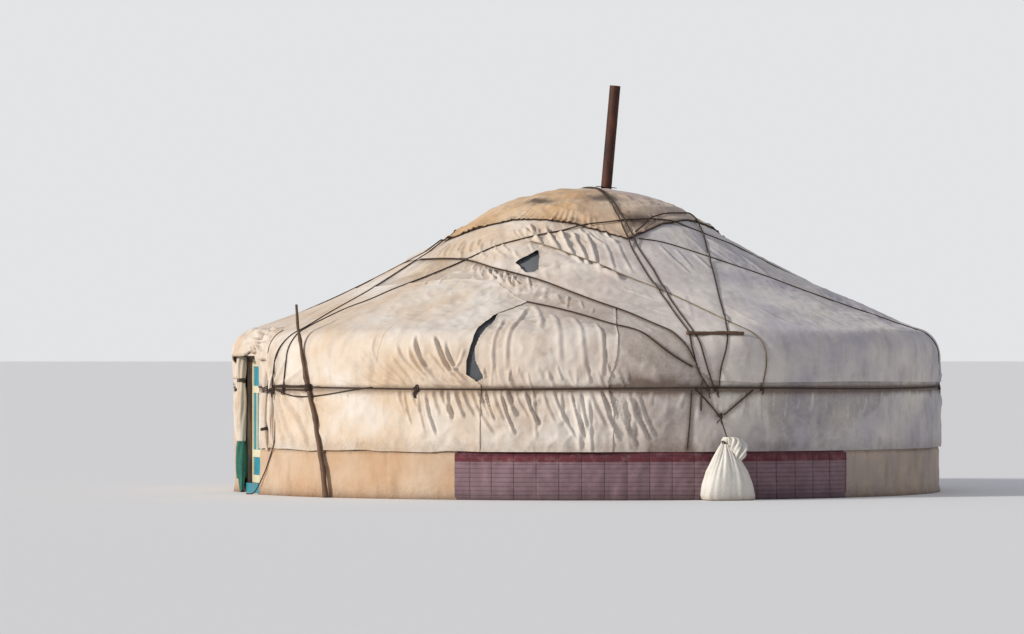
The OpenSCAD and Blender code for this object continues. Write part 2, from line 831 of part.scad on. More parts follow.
// Ropes that hang on the wall canvas, each a list of azimuths, distances out from the
// canvas and heights
sack_azimuth = 94.5;
sack_size = [340, 500, 620];
sack_neck_r = wall_r - skirt_in + seat + sack_size[0] / 2;
tie_low = girth_z - rope_d / 2 - tie_d / 2 - 0.5;
wall_play = 0.8;
wall_out = tie_flat + seat + wall_play;
ties = [
    [[90.4, wall_out, tie_low], [92.4, wall_out, 1010], [94, wall_out, 880]],
    [[99.9, wall_out + 0.5, tie_low], [97.4, wall_out + 0.5, 1010], [94.9, wall_out + 0.2, 880]],
    [[94.3, wall_out + 4, 866], [94.4, 70, 770], [94.5, sack_neck_r - wall_r, sack_size[2] + 4.3]],
    [for (p = [[89.7, tie_low], [89.4, 820], [89, hem_z + 24]]) [p[0], tie_flat + 2 * seat, p[1]]]
];

module roof_ropes() {
    color(rope_dark) {
        for (route = concat([left_rope, long_rope, light_rope, sheet_rope, side_rope], far_ropes))
            tie_rope(route_places(route), []);
        tie_rope(route_places(corner_rope), corner_over);
        for (n = [0, 1])
            strap_rope(n);
        for (tie = ties)
            swept_tube([for (p = tie) polar(p[0], wall_r + p[1], p[2])],
                [for (p = tie) tie_d / 2], tie_sides, ups = [for (p = tie) polar(p[0], 1, 0.1)]);
    }
}

// The free end of a strap hangs over the girth rope, and the left rope's tail falls from
// the girth rope to the ground beside the door
cord_sides = 8;
loose_line = [
    [91.45, 23, 1256], [91.4, 24, 1236], [91.3, 25, 1214], [91.2, 25, 1192], [91.2, 24, 1170],
    [91.2, 24, 1150], [91.2, 24.5, 1130], [91.2, 25, 1110], [91.2, 25, 1090], [91.2, 25, 1065],
    [91.2, 21, 1040], [91.2, 15, 1010], [91.2, 12, 980], [91.2, 11, 952], [91.2, 10, 926]
];
ground_line = [
    [14.5, 9, 1146.5], [14.5, 10, 1110], [14.5, 11, 1070], [14.6, 12, 1030], [14.6, 12, 990],
    [14.7, 12, 950], [14.7, 12, 910], [14.8, 12, 870], [14.8, 12, 830], [14.8, 12, 790],
    [14.8, 13, 750], [14.8, 14, 710], [14.8, 15, 670], [14.8, 16, 630], [14.8, 18, 590],
    [14.6, 20, 550], [14.3, 21, 510], [13.9, 22, 470], [13.5, 22, 430], [13.1, 23, 390],
    [12.7, 24, 350], [12.3, 25, 310], [11.9, 27, 270], [11.4, 29, 232], [10.9, 31, 196],
    [10.4, 34, 160], [9.9, 38, 124], [9.4, 42, 90], [8.9, 47, 58], [8.5, 53, 32], [8.1, 60, 15],
    [7.7, 68, 9], [7.3, 78, 8], [6.9, 90, 8], [6.5, 103, 8]
];

module hanging_cord(line) {
    color(rope_dark)
        swept_tube([for (p = line) polar(p[0], wall_r + p[1], p[2])],
            [for (p = line) tie_d / 2], cord_sides, ups = [for (p = line) polar(p[0], 1, 0.3)]);
}

// The slack of the canvas, bunched and lashed beside the door
module canvas_bunch() {
    bunch_d = 76;
    bunch_z = [hem_z + 80, girth_z + 105];
    color(canvas_cream)
        translate(polar(door_half + 0.9, wall_r + seat + bunch_d / 2, 0))
            rotate_extrude($fn = 32)
                polygon([
                    [0, bunch_z[0]], [20, bunch_z[0]], [bunch_d / 2, bunch_z[0] + 120],
                    [bunch_d / 2 - 6, girth_z - 260], [bunch_d / 2, girth_z - 100],
                    [bunch_d / 2, girth_z], [20, bunch_z[1]], [0, bunch_z[1]]
                ]);
}

// A short stick pushed through the lashing behind the leaning pole
module pole_stick() {
    stick_d = 14;
    stick_l = 170;
    color(pole_wood)
        translate(polar(26.1, wall_r + seat + stick_d / 2 + 0.9, girth_z + (rope_d + stick_d) / 2 + seat))
            rotate([90, 0, 26.1 + 90])
                cylinder(d = stick_d, h = stick_l, center = true, $fn = 16);
}

module leaning_pole() {
    lean_r = wall_r + seat + rope_d + 33.6;
    color(pole_wood)
        swept_tube([
            polar(29.6, lean_r + 30, 0), polar(29.2, lean_r + 26, 160), polar(28.4, lean_r + 14, 420),
            polar(27.2, lean_r + 6, 700), polar(25.9, lean_r, 960), polar(24.9, lean_r, 1150),
            polar(23.8, lean_r + 4, 1400), polar(22.6, lean_r + 6, 1720), polar(21.9, lean_r + 2, 2040)
        ], [44, 42, 40, 38, 36, 34, 31, 27, 22], 10);
    pole_stick();
}

bar_azimuth = 94;

module spreader_bar() {
    bed = 2.4;
    contact = shoulder_point(bed - tie_out - tie_flat - seat, 7);
    a = shoulder_turn * 7 / shoulder_steps;
    thick = 44;
    reach = 640;
    color(wood)
        rotate([0, 0, bar_azimuth - 90])
            translate([contact[0] + thick / 2 * cos(a), 0, contact[1] + thick / 2 * sin(a)])
                rotate([90, 0, 0])
                    cylinder(d = thick, h = reach, center = true, $fn = 24);
}

module weight_sack() {
    color("#e9e6df")
        rotate([0, 0, sack_azimuth - 90])
            translate([sack_neck_r, 0, 0])
                hull() {
                    translate([-sack_size[0] / 2, -sack_size[1] / 2 + 60, 20])
                        cube([sack_size[0], sack_size[1] - 120, sack_size[2] / 2]);
                    translate([-sack_size[0] / 2 + 40, -sack_size[1] / 2, 0])
                        cube([sack_size[0] - 80, sack_size[1], sack_size[2] / 2]);
                    translate([0, 0, sack_size[2] - 20])
                        cylinder(d = 80, h = 20, $fn = 16);
                }
}

module stove_pipe() {
    color(rust)
        pipe_place()
            difference() {
                cylinder(d = pipe_d, h = pipe_l, $fn = 48);
                translate([0, 0, -1])
                    cylinder(d = pipe_d - 8, h = pipe_l + 2, $fn = 48);
            }
}

module pipe_collar() {
    color(rust)
        pipe_place()
            translate([0, 0, 170])
                difference() {
                    cylinder(d = pipe_d + 120, h = 4, $fn = 48);
                    translate([0, 0, -1])
                        cylinder(d = pipe_d + 2 * seat, h = 6, $fn = 48);
                }
}

lattice_wall(1);  // lattice_wall_1
lattice_wall(2);  // lattice_wall_2
lattice_wall(3);  // lattice_wall_3
lattice_wall(4);  // lattice_wall_4
lattice_wall(5);  // lattice_wall_5
roof_poles(1);  // roof_poles_1
roof_poles(2);  // roof_poles_2
roof_poles(3);  // roof_poles_3
roof_poles(4);  // roof_poles_4
crown_ring();
crown_bars();
door_frame();
door_threshold();
door_leaf();
door_panels();
door_handle();
ground_strip();
felt_wall(1);  // felt_wall_1
felt_wall(2);  // felt_wall_2
felt_wall(3);  // felt_wall_3
felt_wall(4);  // felt_wall_4
felt_roof(-90, 90);  // felt_roof_front
felt_roof(90, 270);  // felt_roof_back
canvas_wall(1);  // canvas_wall_1
canvas_wall(2);  // canvas_wall_2
canvas_wall(3);  // canvas_wall_3
canvas_wall(4);  // canvas_wall_4
canvas_roof(-90, 90);  // canvas_roof_front
canvas_roof(90, 270);  // canvas_roof_back
crown_cover();
door_hood();
canvas_roll();
green_cloth();
skirt(door_half, quilt_from, canvas_cream);  // skirt_front
skirt(quilt_from, quilt_to, quilt_mauve);  // skirt_quilt
skirt(quilt_to, whole_turn - door_half, canvas_cream);  // skirt_back
girth_rope();
roof_ropes();
hanging_cord(loose_line);  // loose_cord
hanging_cord(ground_line);  // ground_cord
leaning_pole();
spreader_bar();
weight_sack();
stove_pipe();
pipe_collar();
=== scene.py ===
"""Felt and canvas yurt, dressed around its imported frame. Metres, +Z up, the door faces -Y.

Azimuths are in degrees from the door, growing towards +X. A place on the covers is an
azimuth and a distance s along the section: 0 at the eave, negative down the wall,
positive over the shoulder and up the roof to the crown."""
import json
import math

import bpy
import numpy as np
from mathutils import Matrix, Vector

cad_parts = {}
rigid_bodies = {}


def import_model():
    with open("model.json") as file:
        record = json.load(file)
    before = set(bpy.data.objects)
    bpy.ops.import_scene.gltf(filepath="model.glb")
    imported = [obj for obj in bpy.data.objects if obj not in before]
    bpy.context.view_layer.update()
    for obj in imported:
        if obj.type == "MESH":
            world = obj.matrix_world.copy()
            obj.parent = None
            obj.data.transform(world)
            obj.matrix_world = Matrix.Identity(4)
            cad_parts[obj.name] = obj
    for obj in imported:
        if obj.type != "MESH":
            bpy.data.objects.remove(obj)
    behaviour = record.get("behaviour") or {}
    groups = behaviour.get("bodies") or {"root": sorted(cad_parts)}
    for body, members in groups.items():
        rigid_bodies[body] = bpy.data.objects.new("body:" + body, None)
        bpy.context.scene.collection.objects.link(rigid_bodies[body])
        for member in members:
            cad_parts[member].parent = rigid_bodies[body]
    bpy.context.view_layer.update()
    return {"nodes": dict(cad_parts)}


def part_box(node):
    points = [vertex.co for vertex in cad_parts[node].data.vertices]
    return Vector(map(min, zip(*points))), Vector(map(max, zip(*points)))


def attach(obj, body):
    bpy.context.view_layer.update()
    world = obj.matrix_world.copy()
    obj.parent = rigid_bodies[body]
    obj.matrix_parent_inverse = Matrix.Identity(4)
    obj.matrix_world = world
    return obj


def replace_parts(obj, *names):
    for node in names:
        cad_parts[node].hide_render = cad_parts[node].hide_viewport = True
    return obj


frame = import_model()

# ---------------------------------------------------------------- camera, floor and light
# A long lens from chest height, off to the right of the door. The yurt stands right of
# the middle of the photograph, so the camera is turned a little left and up.
CAMERA_FROM = 73.5
CAMERA_FAR, CAMERA_HIGH = 55.0, 1.44
FOCAL_PX, PHOTO_W, PHOTO_H = 4950.0, 1024, 634
AXIS_PX, HORIZON_PX = 586.5, 361.0
SENSOR_MM = 36
UP = np.array([0, 0, 1.0])


def compass(azimuth, radius, z):
    """Points at an azimuth in degrees, a distance from the axis and a height."""
    a = np.radians(azimuth)
    return np.stack(np.broadcast_arrays(np.sin(a) * radius, -np.cos(a) * radius, z), -1)


towards = -compass(CAMERA_FROM, 1.0, 0.0)
rightwards = compass(CAMERA_FROM + 90, 1.0, 0.0)
aim = (towards - rightwards * (AXIS_PX - PHOTO_W / 2) / FOCAL_PX
       + UP * (HORIZON_PX - PHOTO_H / 2) / FOCAL_PX)
camera = bpy.data.objects.new("camera", bpy.data.cameras.new("camera"))
bpy.context.scene.collection.objects.link(camera)
camera.location = compass(CAMERA_FROM, CAMERA_FAR, CAMERA_HIGH)
camera.rotation_mode = "QUATERNION"
camera.rotation_quaternion = Vector(aim).to_track_quat("-Z", "Y")
camera.data.sensor_width = SENSOR_MM
camera.data.lens = SENSOR_MM * FOCAL_PX / PHOTO_W
camera.data.clip_start, camera.data.clip_end = 1, 40000
bpy.context.scene.camera = camera
bpy.context.scene.view_settings.view_transform = "Standard"


def linear(code):
    """An sRGB hex colour as linear red, green, blue and alpha."""
    parts = [int(code[k:k + 2], 16) / 255 for k in (1, 3, 5)]
    return [p / 12.92 if p <= 0.04045 else ((p + 0.055) / 1.055) ** 2.4 for p in parts] + [1]


def put(tree, kind, *feed, whole=False, **settings):
    """Adds a node. What is fed goes to its inputs in order. Capitalised settings are
    inputs too, by name with _ for a space; the others are its attributes. An input gets
    a value or a link. Returns the node's first output, or the node with whole=True or
    where it has none."""
    node = tree.nodes.new("ShaderNode" + kind)
    inputs = list(enumerate(feed))
    for name, value in settings.items():
        if name[0].isupper():
            inputs.append((name.replace("_", " "), value))
        else:
            setattr(node, name, value)
    for key, value in inputs:
        if isinstance(value, bpy.types.NodeSocket):
            tree.links.new(value, node.inputs[key])
        else:
            node.inputs[key].default_value = value
    return node if whole or not node.outputs else node.outputs[0]


def blank_material(name):
    """A material with no nodes yet, and its tree."""
    made = bpy.data.materials.new(name)
    made.use_nodes = True
    made.node_tree.nodes.clear()
    return made, made.node_tree


def surface(tree, **sockets):
    """The material's end: a shader with these sockets on the output."""
    put(tree, "OutputMaterial", put(tree, "BsdfPrincipled", **sockets))


# Matt backdrop paper, pale and without a sheen, so the floor shows only the shadow
paper, tree = blank_material("studio paper")
surface(tree, Base_Color=linear("#e9e8e5"), Roughness=0.95)
FLOOR_SIZE = 30000
bpy.ops.mesh.primitive_plane_add(size=FLOOR_SIZE)
floor = bpy.context.object
floor.name = "floor"
floor.data.materials.append(paper)

world = bpy.data.worlds.new("studio")
bpy.context.scene.world = world
world.use_nodes = True
tree = world.node_tree
tree.nodes.clear()
# The camera sees a pale backdrop; the object gets a softer, bluish fill from all sides
FILL = 0.50
pale = put(tree, "Background", Color=linear("#e3e4e6"), Strength=1.0)
soft = put(tree, "Background", Color=linear("#eef2ff"), Strength=FILL)
seen = put(tree, "LightPath", whole=True).outputs["Is Camera Ray"]
put(tree, "OutputWorld", put(tree, "MixShader", seen, soft, pale))

# The low sun's azimuth, height and angular size in degrees, its strength and colour
KEY_FROM, KEY_UP, KEY_SOFT = 9.0, 20.0, 7.0
KEY_STRENGTH, KEY_COLOUR = 3.1, (1.0, 0.965, 0.92)
key = bpy.data.objects.new("key lamp", bpy.data.lights.new("key lamp", "SUN"))
bpy.context.scene.collection.objects.link(key)
key.data.energy = KEY_STRENGTH
key.data.angle = math.radians(KEY_SOFT)
key.data.color = KEY_COLOUR
key.rotation_mode = "QUATERNION"
key_up = math.radians(KEY_UP)
key_way = Vector(-compass(KEY_FROM, math.cos(key_up), math.sin(key_up)))
key.rotation_quaternion = key_way.to_track_quat("-Z", "Y")

# ---------------------------------------------------------------- ropes over the covers
# Twisted horsehair and hemp ropes, 14 to 16 mm thick, drawn tight over the covers and
# knotted to each other and to the girth rope. Their routes shape the canvas under them.
wall_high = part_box("canvas_wall_1")[1]
WALL_R, EAVE = round(wall_high.x, 3), round(wall_high.z, 3)
# The covers' section, as in the part: bend of the shoulder, mean pitch and sag of the
# roof, the crown's radius and rise and the width of its ring
SHOULDER, PITCH, SAG = 0.27, math.radians(26.7), math.radians(7)
CROWN_R, CROWN_RISE, RING_W = 1.1, 0.225, 0.0723
TURN = math.pi / 2 - PITCH + SAG
BEND = np.array([WALL_R - SHOULDER, EAVE])
KNEE = BEND + SHOULDER * np.array([math.cos(TURN), math.sin(TURN)])
CHORD = (KNEE[0] - CROWN_R) / math.cos(PITCH)
HOLLOW_R = CHORD / (2 * math.sin(SAG))
HOLLOW = BEND + (SHOULDER + HOLLOW_R) * np.array([math.cos(TURN), math.sin(TURN)])
EDGE = KNEE + CHORD * np.array([-math.cos(PITCH), math.sin(PITCH)])
SLOPE = PITCH + SAG
LIP = EDGE + RING_W * np.array([-math.cos(SLOPE), math.sin(SLOPE)])
DOME_R = (LIP[0] ** 2 + CROWN_RISE ** 2) / (2 * CROWN_RISE)
DOME_Z = LIP[1] + CROWN_RISE - DOME_R
DOME_HALF = math.asin(LIP[0] / DOME_R)
S_KNEE = SHOULDER * TURN
S_EDGE = S_KNEE + 2 * SAG * HOLLOW_R
S_LIP = S_EDGE + RING_W
S_TOP = S_LIP + DOME_R * DOME_HALF


def section(s):
    """Radius, height and outward direction of the covers at distances s from the eave."""
    s = np.asarray(s, float)
    bend = np.clip(s / SHOULDER, 0, TURN)
    hollow = TURN + math.pi - np.clip((s - S_KNEE) / HOLLOW_R, 0, 2 * SAG)
    dome = DOME_HALF - (s - S_LIP) / DOME_R
    flat = s - S_EDGE
    on = [s < 0, s < S_KNEE, s < S_EDGE, s < S_LIP]  # wall, shoulder, roof, ring; else dome
    r = np.select(on, [WALL_R + 0 * s, BEND[0] + SHOULDER * np.cos(bend),
                       HOLLOW[0] + HOLLOW_R * np.cos(hollow), EDGE[0] - flat * math.cos(SLOPE)],
                  DOME_R * np.sin(dome))
    z = np.select(on, [EAVE + s, BEND[1] + SHOULDER * np.sin(bend),
                       HOLLOW[1] + HOLLOW_R * np.sin(hollow), EDGE[1] + flat * math.sin(SLOPE)],
                  DOME_Z + DOME_R * np.cos(dome))
    tilt = np.select(on, [0 * s, bend, hollow - math.pi, math.pi / 2 - SLOPE + 0 * s],
                     math.pi / 2 - dome)
    return r, z, np.cos(tilt), np.sin(tilt)


def off_door(azimuth):
    """Degrees from the door, either way."""
    return np.abs(np.mod(np.asarray(azimuth, float) + 180, 360) - 180)


def draw_in(azimuth, s):
    """Beside the doorway the covers are drawn in to the door post, below the eave."""
    off, s = off_door(azimuth), np.asarray(s, float)
    low = np.clip((-0.015 - s) / 0.14, 0, 1)
    drawn = np.interp(off, [6.0, 7.0, 8.3, 9.8, 11.0], [0.094, 0.056, 0.028, 0.006, 0.0])
    # the foot of the first roof pole holds it off there
    drawn -= 0.013 * np.exp(-((off - 7.5) / 0.45) ** 2 - ((s + 0.28) / 0.17) ** 4)
    return drawn * low * low * (3 - 2 * low)


def place(azimuth, s, out):
    """Points over the covers, out metres off the canvas."""
    r, z, nr, nz = section(s)
    return compass(azimuth, r - draw_in(azimuth, s) + out * nr, z + out * nz)


# The girth rope runs round the wall at GIRTH_S; the ropes end on it at ROPE_END
GIRTH_S, ROPE_END = -0.345, -0.331
ROPE_R, TIE_R, CORD_R, SEAM_ROPE_R, GIRTH_R, LASHING_R = 0.0078, 0.0068, 0.007, 0.0075, 0.008, 0.006
# Places are azimuth and s at points read off the photograph: first the hem of
# the upper canvas and the seam of the front canvas, then the way of each rope
HEM_LINE = [(-7, 2.236), (7.1, 2.236), (32.6, 2.236), (48.9, 1.943), (61.2, 1.723), (69.3, 1.43),
            (77, 1.064), (81.3, 0.844), (85.1, 0.478), (87.6, 0.207), (89.1, 0.083), (90.2, -0.06)]
SEAM = [(0, 1.53), (10.2, 1.576), (23.7, 1.65), (34.7, 1.723), (44.2, 1.723), (52.2, 1.576),
        (61.3, 1.137)]
ROUTES = {
    "left_rope": [(0.6, 2.65), (2.2, 2.31), (10.2, 1.576), (12.8, 0.99), (16.5, 0.55),
                  (18.1, 0.33), (17.3, 0.195), (16, 0.055), (14.8, -0.07), (14.5, ROPE_END)],
    "long_rope": [(166, ROPE_END), (166, 0.05), (165, 0.5), (162, 1.1), (157, 1.7), (151, 2.3),
                  (145.9, 2.6), (139.8, 2.675), (124.8, 2.97), (106.4, 3.04), (92.4, 3.04),
                  (68.8, 2.895), (49.9, 2.675), (40, 2.53), (34.9, 2.31), (24.7, 1.725),
                  (21, 1.505), (19.5, 1.21), (16.7, 0.99), (17.4, 0.55), (19.3, 0.235),
                  (18.9, 0.085), (18.3, -0.07), (17.7, ROPE_END)],
    "light_rope": [(52.5, 2.59), (61.8, 2.455), (76.3, 2.09), (83.5, 1.795), (91.2, 1.43),
                   (95.9, 0.99), (98.5, 0.625), (100.5, 0.26), (101.6, 0.15), (102.1, 0.03),
                   (102.2, -0.12), (101.4, ROPE_END)],
    "sheet_rope": [(61.3, 1.135), (67, 0.99), (73, 0.77), (78.1, 0.48), (80.3, 0.405),
                   (84.7, 0.085), (88.5, -0.075), (89.8, -0.12)],
    "corner_rope": [(93, 2.73), (104, 3.04), (118.8, 3.19), (135.9, 3.19), (147.4, 3.19),
                    (140.3, 3.04), (126.5, 2.675), (116.3, 2.31), (108.5, 1.795), (103, 1.285),
                    (98.8, 0.695), (96, 0.205), (95.4, 0.085), (94.5, -0.1), (93.9, -0.28),
                    (93.9, ROPE_END)],
    "side_rope": [(94, 2.66), (103.4, 2.6), (115.3, 2.31), (124.6, 2.015), (130.6, 1.795),
                  (137, 1.45), (146, 0.9), (152, 0.4), (155, 0), (156, ROPE_END)],
    "far_rope_1": [(179, 2.64), (186, 2.2), (196, 1.5), (202, 0.9), (205, 0.3), (205.5, ROPE_END)],
    "far_rope_2": [(267, 2.64), (250, 2.3), (240, 1.6), (234, 0.9), (231, 0.3), (230, ROPE_END)],
    "far_rope_3": [(273, 2.64), (290, 2.2), (304, 1.5), (311, 0.9), (314, 0.3), (315, ROPE_END)],
    "far_rope_4": [(357, 2.65), (352, 2.2), (347, 1.5), (344, 0.9), (342, 0.4), (341, ROPE_END)],
}
# Where a rope climbs over one that lies under it
OVER = {
    "corner_rope": [(104, 3.04), (132, 2.825), (116, 2.287), (98.4, 0.65)],
    "strap_1": [(89.2, 3.02), (89.8, 1.497)], "strap_2": [(91.5, 3.035), (91.3, 1.425)],
}
# Two straps run over the crown from side to side: s, and how far behind the middle they lie
STRAPS = {
    "strap_1": [(ROPE_END, 0.15), (-0.174, 0.054), (-0.06, 0.02), (0.097, -0.02),
                (0.478, -0.006), (1.137, 0.005), (1.8, -0.017), (2.6, -0.026), (3.4, -0.012),
                (4.4, -0.012)],
    "strap_2": [(ROPE_END, 0.217), (-0.288, 0.197), (0, 0.108), (0.276, 0.039), (0.624, 0.054),
                (1.357, 0.063), (1.943, 0.082), (2.529, 0.048), (3.4, 0.024), (4.4, 0.012)],
}
STRAP_ROUTE_TO = 4
for strap_name, line in STRAPS.items():
    side_way = [(90 + math.degrees(math.asin(behind / float(section(s)[0]))), s)
                for s, behind in line if s < STRAP_ROUTE_TO]
    ROUTES[strap_name] = side_way
    ROUTES[strap_name + "_far"] = [(360 - azimuth, s) for azimuth, s in side_way]
# Ropes that hang on the wall canvas: azimuth, distance out from it, height
TIES = {
    "sack_strand_1": [(90.4, 0.0072, 1.14), (92.4, 0.0072, 1.01), (94, 0.0072, 0.88)],
    "sack_strand_2": [(99.9, 0.0077, 1.14), (97.4, 0.0077, 1.01), (94.9, 0.0074, 0.88)],
    "sack_rope": [(94.3, 0.011, 0.866), (94.4, 0.07, 0.77), (94.5, 0.18, 0.624)],
    "hem_tie": [(89.7, 0.0067, 1.14), (89.4, 0.0067, 0.82), (89, 0.0067, 0.524)],
}
# The free end of a strap, and the tail of the left rope, which falls beside the door
LOOSE_CORD = [(91.45, 0.023, 1.256), (91.4, 0.024, 1.236), (91.3, 0.025, 1.214),
              (91.2, 0.025, 1.192), (91.2, 0.024, 1.17), (91.2, 0.024, 1.15),
              (91.2, 0.0245, 1.13), (91.2, 0.025, 1.11),
              (91.2, 0.025, 1.09), (91.2, 0.025, 1.065), (91.2, 0.021, 1.04), (91.2, 0.015, 1.01),
              (91.2, 0.012, 0.98), (91.2, 0.011, 0.952), (91.2, 0.01, 0.926)]
GROUND_CORD = [(14.5, 0.009, 1.1465), (14.5, 0.01, 1.11), (14.5, 0.011, 1.07), (14.6, 0.012, 1.03),
               (14.6, 0.012, 0.99), (14.7, 0.012, 0.95), (14.7, 0.012, 0.91), (14.8, 0.012, 0.87),
               (14.8, 0.012, 0.83), (14.8, 0.012, 0.79), (14.8, 0.013, 0.75), (14.8, 0.014, 0.71),
               (14.8, 0.015, 0.67), (14.8, 0.016, 0.63), (14.8, 0.018, 0.59), (14.6, 0.02, 0.55),
               (14.3, 0.021, 0.51), (13.9, 0.022, 0.47), (13.5, 0.022, 0.43), (13.1, 0.023, 0.39),
               (12.7, 0.024, 0.35), (12.3, 0.025, 0.31), (11.9, 0.027, 0.27), (11.4, 0.029, 0.232),
               (10.9, 0.031, 0.196), (10.4, 0.034, 0.16), (9.9, 0.038, 0.124), (9.4, 0.042, 0.09),
               (8.9, 0.047, 0.058), (8.5, 0.053, 0.032), (8.1, 0.06, 0.015), (7.7, 0.068, 0.009),
               (7.3, 0.078, 0.008), (6.9, 0.09, 0.008), (6.5, 0.103, 0.008)]
# Lines along which something holds the canvas down
HELD = [*ROUTES.values(), HEM_LINE]
HELD += [[(a, z - EAVE) for a, out, z in line[::3]] for line in (LOOSE_CORD, GROUND_CORD)]
HELD += [[(a, z - EAVE) for a, out, z in line]
         for name, line in TIES.items() if name != "sack_rope"]


def run_along(points):
    """Metres along a path at each of its points."""
    return np.concatenate([[0], np.cumsum(np.linalg.norm(np.diff(points, axis=0), axis=1))])


def round_bends(points, times):
    """A path with its corners cut a few times over, which rounds its bends."""
    p = np.array(points, float)
    for _ in range(times):
        cut = np.stack([0.75 * p[:-1] + 0.25 * p[1:], 0.25 * p[:-1] + 0.75 * p[1:]], 1)
        p = np.concatenate([p[:1], cut.reshape(-1, p.shape[1]), p[-1:]])
    return p


ROUTE_STEP, WALL_STEP = 0.03, 0.02


def smooth_route(points):
    """A route through its points, rounded at the bends, with even steps in metres."""
    p = round_bends(points, 3)
    run = run_along(place(p[:, 0], p[:, 1], 0))
    even = np.linspace(0, run[-1], max(3, int(run[-1] / ROUTE_STEP)))
    return np.interp(even, run, p[:, 0]), np.interp(even, run, p[:, 1])


FAR_OFF, LEAST_RADIUS = 9.0, 0.3


def from_line(azimuth, s, line):
    """How far places are from a line of places, in metres; how far along it their
    nearest point is, 0 to 1; and on which side they lie."""
    line = np.array(line, float)
    radius = np.maximum(section(s)[0], LEAST_RADIUS)
    best = np.full(np.shape(s), FAR_OFF)
    share, side = np.zeros(np.shape(s)), np.ones(np.shape(s))
    count = len(line) - 1
    for k in range(count):
        ax, ay = np.radians(line[k, 0] - azimuth) * radius, line[k, 1] - s
        bx, by = np.radians(line[k + 1, 0] - azimuth) * radius, line[k + 1, 1] - s
        dx, dy = bx - ax, by - ay
        t = np.clip(-(ax * dx + ay * dy) / np.maximum(dx * dx + dy * dy, 1e-9), 0, 1)
        near = np.hypot(ax + t * dx, ay + t * dy)
        closer = near < best
        best = np.where(closer, near, best)
        share = np.where(closer, (k + t) / count, share)
        side = np.where(closer, np.sign(ax * dy - ay * dx), side)
    return best, share, side


WRAP_AT = 35


def whole_azimuth(azimuth):
    """The same azimuth between -35 and 325, where no route crosses the join."""
    return np.mod(azimuth + WRAP_AT, 360) - WRAP_AT


